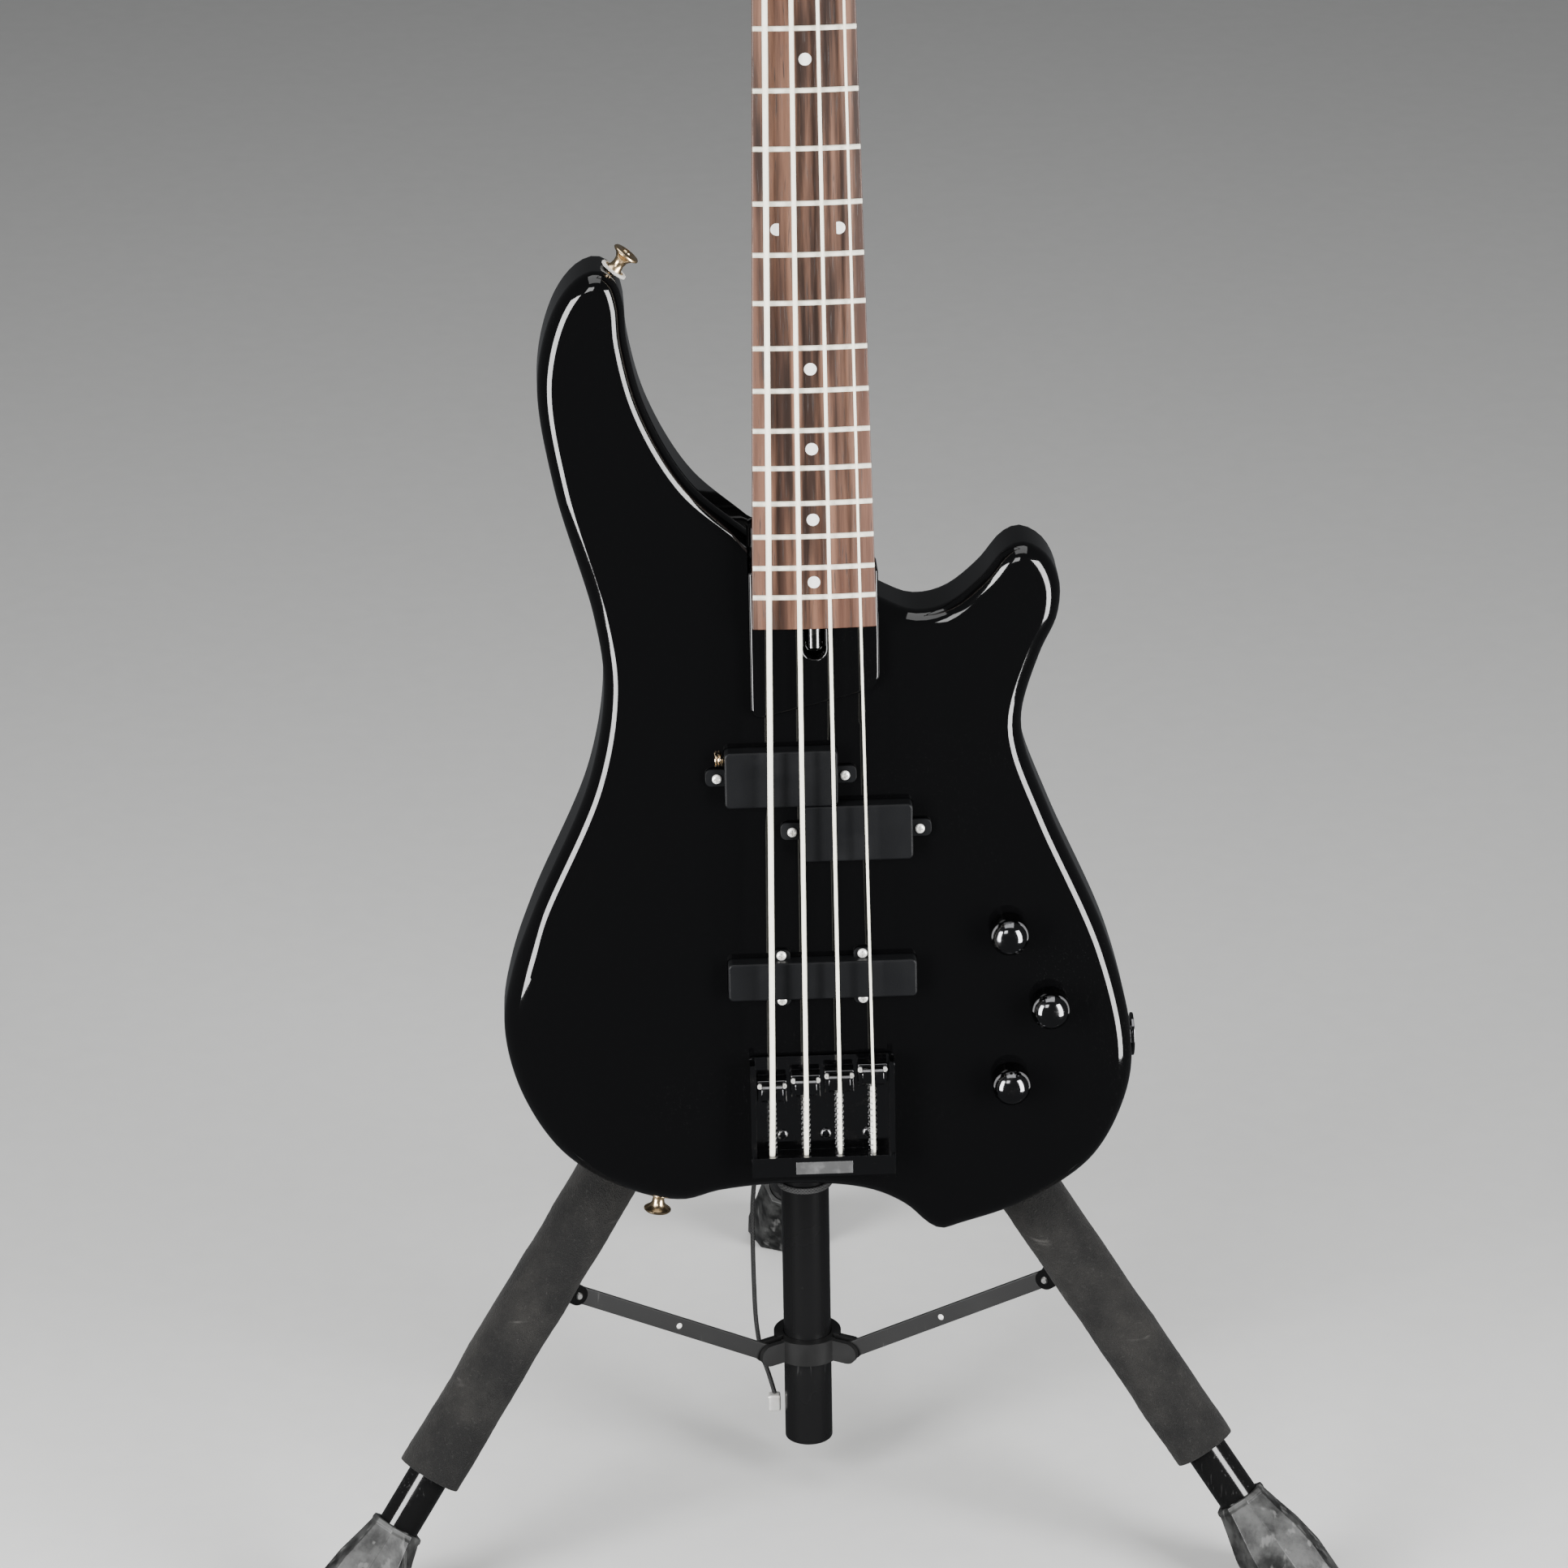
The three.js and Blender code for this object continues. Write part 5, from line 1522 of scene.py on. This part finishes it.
class BASS_OT_pickups(BassOperator, Operator):
    """Two half pickups and the bar pickup, with their screws and one spring"""

    bl_idname = "bass.pickups"
    bl_label = "Pickups"

    def build(self, bass, stand):
        places = []
        for node, (x, z) in SPLIT_PICKUPS.items():
            centres = [(x + side * (SPLIT_SIZE[0] / 2 + 3.75), z) for side in (-1, 1)]
            self.cover(node, (x, z), SPLIT_SIZE, [(centre, (11.5, 9)) for centre in centres])
            places += [(x + side * (SPLIT_SIZE[0] / 2 + 3.7), -2.6, z - 0.4) for side in (-1, 1)]
        x, z = BAR_PICKUP
        ears = []
        for place in BAR_SCREWS:
            for side in (-1, 1):
                ears.append(((place, z + side * (BAR_SIZE[1] / 2 + 1.5)), (9, 7)))
                places.append((place, -2.6, z + side * (BAR_SIZE[1] / 2 + 2.2)))
        self.cover("pickup_bridge", BAR_PICKUP, BAR_SIZE, ears)
        on_guitar(polish(screws(2.45, places)), "pickup_screws", "bright_metal")
        springs = []
        for x, z in ((-50.6, 169),):
            turn = Matrix.Translation(Vector((x, -2.9, z)) * MM) @ Matrix.Rotation(math.radians(84), 4, "Y")
            springs.append(helix(2.7, 0, 3.8, 2.2, 0.45, turn))
        on_guitar(polish(join(springs)), "pickup_springs", "brass")

    def cover(self, node, centre, size, ears):
        cover = round_edges(plate(rectangle_at(centre, size, 2.4), -PICKUP_PROUD, 10), 1.1, 4, 60)
        tabs = [round_edges(plate(rectangle_at(*ear, 3), -2.6, -0.6), 0.4, 2, 60) for ear in ears]
        on_guitar(polish(unite(cover, *tabs)), node + "_cover", "cover_plastic", [node])


class BASS_OT_bridge(BassOperator, Operator):
    """Bridge plate with its rails and wall, and four saddles"""

    bl_idname = "bass.bridge"
    bl_label = "Bridge"

    def build(self, bass, stand):
        wall_low = BRIDGE_WALL - BRIDGE_WALL_THICKNESS
        outline = rounded_rectangle((-BRIDGE_HALF, -54), (BRIDGE_HALF, 8), 2)
        base = plate(outline, -2.8, -GAP)
        rails = []
        for low in (-BRIDGE_HALF, BRIDGE_HALF - 2.6):
            rails.append(box((low, -12, wall_low), (low + 2.6, -GAP - 1, 7)))
        wall = box((-BRIDGE_HALF, -13.5, -54), (BRIDGE_HALF, -GAP - 1, BRIDGE_WALL))
        bridge = round_edges(unite(base, *rails, wall), 0.6, 3, 60)
        holes = []
        for index, radius in enumerate(STRING_RADII):
            x = string_x(index, BRIDGE_WALL)
            start, end = (x, -TAIL_HEIGHT, wall_low - 5), (x, -TAIL_HEIGHT, BRIDGE_WALL + 5)
            holes.append(cylinder(radius + 0.5, start, end, 28))
            holes.append(cylinder(3.1, (x, -TAIL_HEIGHT, -60), (x, -TAIL_HEIGHT, wall_low), 32))
        bridge = polish(carve(bridge, *holes))
        on_guitar(bridge, "bridge_steel", "black_chrome", ["bridge_plate"])
        heads = screws(2.9, [(1.6, -2.8, -35), (23, -2.8, -35), (-20.5, -2.8, -35)])
        on_guitar(polish(heads), "bridge_screws", "black_chrome")
        label = round_edges(box((-14.2, -13.9, -52.6), (14.6, -13.3, -46)), 0.15, 2)
        on_guitar(polish(label), "bridge_label", "worn_steel")
        screw_parts = []
        for index in range(4):
            x = string_x(index, SADDLE_Z[index])
            shank_ends = (x, -4.9, BRIDGE_WALL - 2), (x, -4.9, SADDLE_Z[index] - 3)
            screw_parts.append(cylinder(1.2, *shank_ends, 20))
            head = cylinder(2.3, (x, -4.9, -55.4), (x, -4.9, -53.9), 28)
            screw_parts.append(round_edges(head, 0.5, 2))
            turn = Matrix.Translation(Vector((x, -4.9, 0)) * MM)
            start, end = BRIDGE_WALL + 0.4, SADDLE_Z[index] - 8.4
            coil = helix(1.95, start, end, 11, 0.32, turn)
            ends = [GUITAR @ (Vector((x, -4.9, z)) * MM) for z in (start, end)]
            name = STRING_NAMES[index]
            between = ("guitar", "saddle_" + name, *ends)
            on_guitar(polish(coil), "saddle_spring_" + name, "steel", body=between)
            self.saddle(index)
        on_guitar(polish(join(screw_parts)), "saddle_screws", "bright_metal")

    def saddle(self, index):
        radius, z = STRING_RADII[index] + GAP, SADDLE_Z[index]
        x = string_x(index, z)
        front = -SADDLE_HEIGHT
        low, high, half = z - 8, z + 4, 7.8 - GAP
        base = round_edges(box((x - half, front + 5.6, low), (x + half, -3.1, high)), 0.7, 3)
        middle = (low + high) / 2
        barrel = cylinder(5, (x - 5.5, front + 5.6, middle), (x + 5.5, front + 5.6, middle), 48)
        groove = box((x - radius, -40, low - 5), (x + radius, front + radius, high + 5))
        drop = box((x - radius, -40, low - 5), (x + radius, front + radius + 2.6, low + 4.6))
        bore = cylinder(1.6, (x, -4.9, low - 5), (x, -4.9, high + 5), 24)
        saddle = carve(unite(base, round_edges(barrel, 0.5, 2)), groove, drop, bore)
        name = STRING_NAMES[index]
        body = "saddle_" + name
        on_guitar(polish(saddle), "saddle_block_" + name, "black_chrome", [body], body)
        pins = []
        for side in (-1, 1):
            place = (x + side * 6.2, front + 5.6 - 1.1, middle + 3.4)
            screw = cylinder(1.25, (place[0], -4, place[2]), place, 24)
            socket = cylinder(0.6, (place[0], place[1] + 0.8, place[2]), (place[0], -20, place[2]), 6)
            pins.append(carve(screw, socket))
        on_guitar(polish(join(pins)), "saddle_pins_" + name, "bright_metal", body=body)


class BASS_OT_controls(BassOperator, Operator):
    """Knobs, output jack, strap buttons and the plates on the back"""

    bl_idname = "bass.controls"
    bl_label = "Controls and fittings"

    def build(self, bass, stand):
        for name, (x, z) in CONTROLS.items():
            self.knob(name, x, z)
        for name, (place, direction) in STRAP_BUTTONS.items():
            self.strap_button(name, place, direction)
        self.jack()
        back = BODY_DEPTH - 2
        cover = plate(rounded_rectangle(COVER_LOW, COVER_HIGH, 14), back, BODY_DEPTH)
        cover = round_edges(cover, 0.4, 2, 60)
        on_guitar(polish(cover), "control_cover_plate", "black_plastic", ["control_cover"])
        corners = [(x, BODY_DEPTH, z) for x in (79, 123) for z in (-21, 81)]
        on_guitar(polish(screws(2.2, corners, (0, 1, 0))), "control_cover_screws", "bright_metal")
        plate_outline = rectangle_at((0, NECK_PLATE_Z), (62, 50), 5)
        neck_plate = round_edges(plate(plate_outline, back, BODY_DEPTH), 0.5, 2, 60)
        on_guitar(polish(neck_plate), "neck_plate_steel", "black_chrome", ["neck_plate"])
        corners = [(x, BODY_DEPTH, NECK_PLATE_Z + z) for x in (-24, 24) for z in (-18, 18)]
        on_guitar(polish(screws(4.2, corners, (0, 1, 0))), "neck_plate_screws", "black_chrome")

    def knob(self, name, x, z):
        profile = [(0, -19.3), (3, -19.3), (3, GAP), (9.75, GAP), (9.75, 8.5)]
        for step in range(1, 10):
            angle = math.radians(10 * step)
            profile.append((9.75 * math.cos(angle) ** 0.8, 8.5 + 8 * math.sin(angle)))
        profile[-1] = (0, 16.5)
        knob = lathe(profile, 64)
        move(knob, pointing((x, 0, z), (0, -1, 0)))
        body = "knob_" + name
        on_guitar(polish(knob, 50), "knob_cap_" + name, "black_chrome", [body], body)

    def strap_button(self, name, place, direction):
        profile = [
            (0, 0), (5.04, 0), (4.4, 0.8), (3.3, 2.6), (2.94, 4.6), (3.3, 7), (4.8, 9), (6.4, 9.9),
            (7, 10.4), (7, 11), (6.4, 11.6), (4.2, 12), (3.2, 11.4), (0, 11.2),
        ]
        place_on = GUITAR @ pointing(place, direction)
        button = lathe(profile, 48)
        screw = screws(2.6, [(0, 0, 11.2)], (0, 0, 1))
        node = "strap_button_" + name
        on_guitar(polish(button, 50), node + "_brass", "brass", [node], place=place_on)
        on_guitar(polish(screw), node + "_screw", "brass", place=place_on)
        washer = round_edges(lathe([(5.1, 0.1), (7, 0.1), (7, 1.4), (5.1, 1.4), (5.1, 0.1)], 48), 0.3, 2)
        on_guitar(polish(washer), node + "_felt", "felt", place=place_on)

    def jack(self):
        front = GAP + 1.5
        profile = [(3.35, -24), (6, -24), (6, GAP), (11, GAP), (11, front), (3.35, front), (3.35, -24)]
        x, y, z = JACK_PLACE
        body = round_edges(lathe(profile, 64), 0.35, 2)
        place = GUITAR @ pointing((x, y, z), (1, 0, 0))
        on_guitar(
            polish(body), "output_jack_socket", "black_chrome", ["output_jack"], place=place
        )


class BASS_OT_tuners(BassOperator, Operator):
    """Tuning machines and the string tree"""

    bl_idname = "bass.tuners"
    bl_label = "Tuners"

    def build(self, bass, stand):
        for index, name in enumerate(STRING_NAMES):
            x, z = post_place(index)
            place = GUITAR @ Matrix.Translation(Vector((x, 0, z)) * MM)
            self.housing(name, place)
            self.post(name, place)
            self.key(name, place)
        self.tree()

    def housing(self, name, place):
        front = HEAD_BACK + GAP
        base = round_edges(plate(rectangle_at((0, 5), (25, 34), 4), front, front + 2), 0.4, 2, 60)
        bearings = []
        for x in (-11, 8.5):
            low, high = (x, front + 1, WORM_HEIGHT - 5.5), (x + 3, WORM_DEPTH + 5.5, WORM_HEIGHT + 5.5)
            bearings.append(round_edges(box(low, high), 0.8, 3))
        post_hole = cylinder(POST_RADIUS + GAP, (0, -20, 0), (0, 60, 0), 48)
        key_hole = cylinder(2.9, (-40, WORM_DEPTH, WORM_HEIGHT), (40, WORM_DEPTH, WORM_HEIGHT), 32)
        housing = carve(unite(base, *bearings), post_hole, key_hole)
        node = "tuner_housing_" + name
        on_guitar(polish(housing), node + "_plate", "black_chrome", [node], place=place)
        corners = [(x, front + 2, z) for x in (-10, 10) for z in (-9.5, 19.5)]
        on_guitar(polish(screws(1.5, corners, (0, 1, 0))), node + "_screws", "black_chrome", place=place)

    def post(self, name, place):
        profile = [(0, -9), (POST_RADIUS - 0.5, -9), (POST_RADIUS, -8.5), (POST_RADIUS, -6.8), (5.4, -5.6)]
        profile += [(5.2, -4.2), (5.4, -2.8), (POST_RADIUS, -1.6), (POST_RADIUS, 18), (0, 18)]
        post = lathe([(radius, height + 1) for radius, height in profile], 40)
        teeth = []
        for step in range(56):
            angle = 2 * math.pi * step / 56
            reach = WHEEL_RADIUS - (0.9 if step % 4 in (0, 1) else 0)
            teeth.append((reach * math.cos(angle), reach * math.sin(angle)))
        wheel = plate(teeth, 19, 23)
        turn = Matrix.Rotation(-math.pi / 2, 4, "X")
        slot = box((-1.2, -20, -20), (1.2, -4, 20))
        post = carve(unite(move(post, turn), wheel), slot)
        body = "tuner_post_" + name
        on_guitar(polish(post), "post_" + name, "black_chrome", [body], body, place)

    def key(self, name, place):
        axis = (WORM_DEPTH, WORM_HEIGHT)
        shaft = cylinder(2.6, (-30, *axis), (12.5, *axis), 32)
        outline = [(-37 + 10 * math.cos(a / 30 * math.pi), WORM_HEIGHT + 12.5 * math.sin(a / 30 * math.pi))
                   for a in range(60)]
        button = round_edges(plate(outline, WORM_DEPTH - 3.5, WORM_DEPTH + 3.5), 2.4, 5, 60)
        collar = round_edges(cylinder(4.2, (-28.5, *axis), (-24, *axis), 40), 0.8, 3)
        turn = Matrix.Translation(Vector((0, *axis)) * MM) @ Matrix.Rotation(math.pi / 2, 4, "Y")
        thread = helix(2.7, -7, 7.6, 5, 0.55, turn)
        parts = [polish(each) for each in (shaft, button, collar, thread)]
        body = "tuner_key_" + name
        on_guitar(join(parts), "key_" + name, "black_chrome", [body], body, place)

    def tree(self):
        z = SCALE_LENGTH + 62
        x = (string_x(2, z) + string_x(3, z)) / 2
        bar = round_edges(cylinder(1.6, (x - 9, -12.9, z), (x + 9, -12.9, z), 32), 0.5, 3)
        post = cylinder(2.4, (x, -13.4, z), (x, 0.7, z), 32)
        tree = round_edges(unite(bar, post), 0.3, 2)
        on_guitar(polish(tree), "string_tree_bar", "black_chrome", ["string_tree"])


# ------------------------------------------------------------------ panel and registration


class BASS_PT_panel(Panel):
    """The steps, in order, with the sizes that can be changed"""

    bl_label = "Bass on a stand"
    bl_idname = "BASS_PT_panel"
    bl_space_type = "VIEW_3D"
    bl_region_type = "UI"
    bl_category = "Bass"

    def draw(self, context):
        for group in (context.scene.bass_stage, context.scene.bass_stand, context.scene.bass):
            column = self.layout.box().column()
            for name in group.__annotations__:
                column.prop(group, name)
        for step in STEPS:
            self.layout.operator(step.bl_idname)


STEPS = (
    BASS_OT_stage,
    BASS_OT_cord,
    BASS_OT_tubes,
    BASS_OT_hub,
    BASS_OT_collar,
    BASS_OT_legs,
    BASS_OT_foam,
    BASS_OT_boots,
    BASS_OT_yoke,
    BASS_OT_body,
    BASS_OT_neck,
    BASS_OT_fingerboard,
    BASS_OT_strings,
    BASS_OT_pickups,
    BASS_OT_bridge,
    BASS_OT_controls,
    BASS_OT_tuners,
)
SETTINGS = {"bass": BassSettings, "bass_stand": StandSettings, "bass_stage": StageSettings}


def register():
    for each in (*SETTINGS.values(), *STEPS, BASS_PT_panel):
        bpy.utils.register_class(each)
    for name, group in SETTINGS.items():
        setattr(bpy.types.Scene, name, PointerProperty(type=group))


def unregister():
    for name in SETTINGS:
        delattr(bpy.types.Scene, name)
    for each in reversed((*SETTINGS.values(), *STEPS, BASS_PT_panel)):
        bpy.utils.unregister_class(each)


def main():
    register()
    make_finishes()
    for step in STEPS:
        getattr(bpy.ops.bass, step.bl_idname.split(".")[1])()


if __name__ == "__main__":
    main()
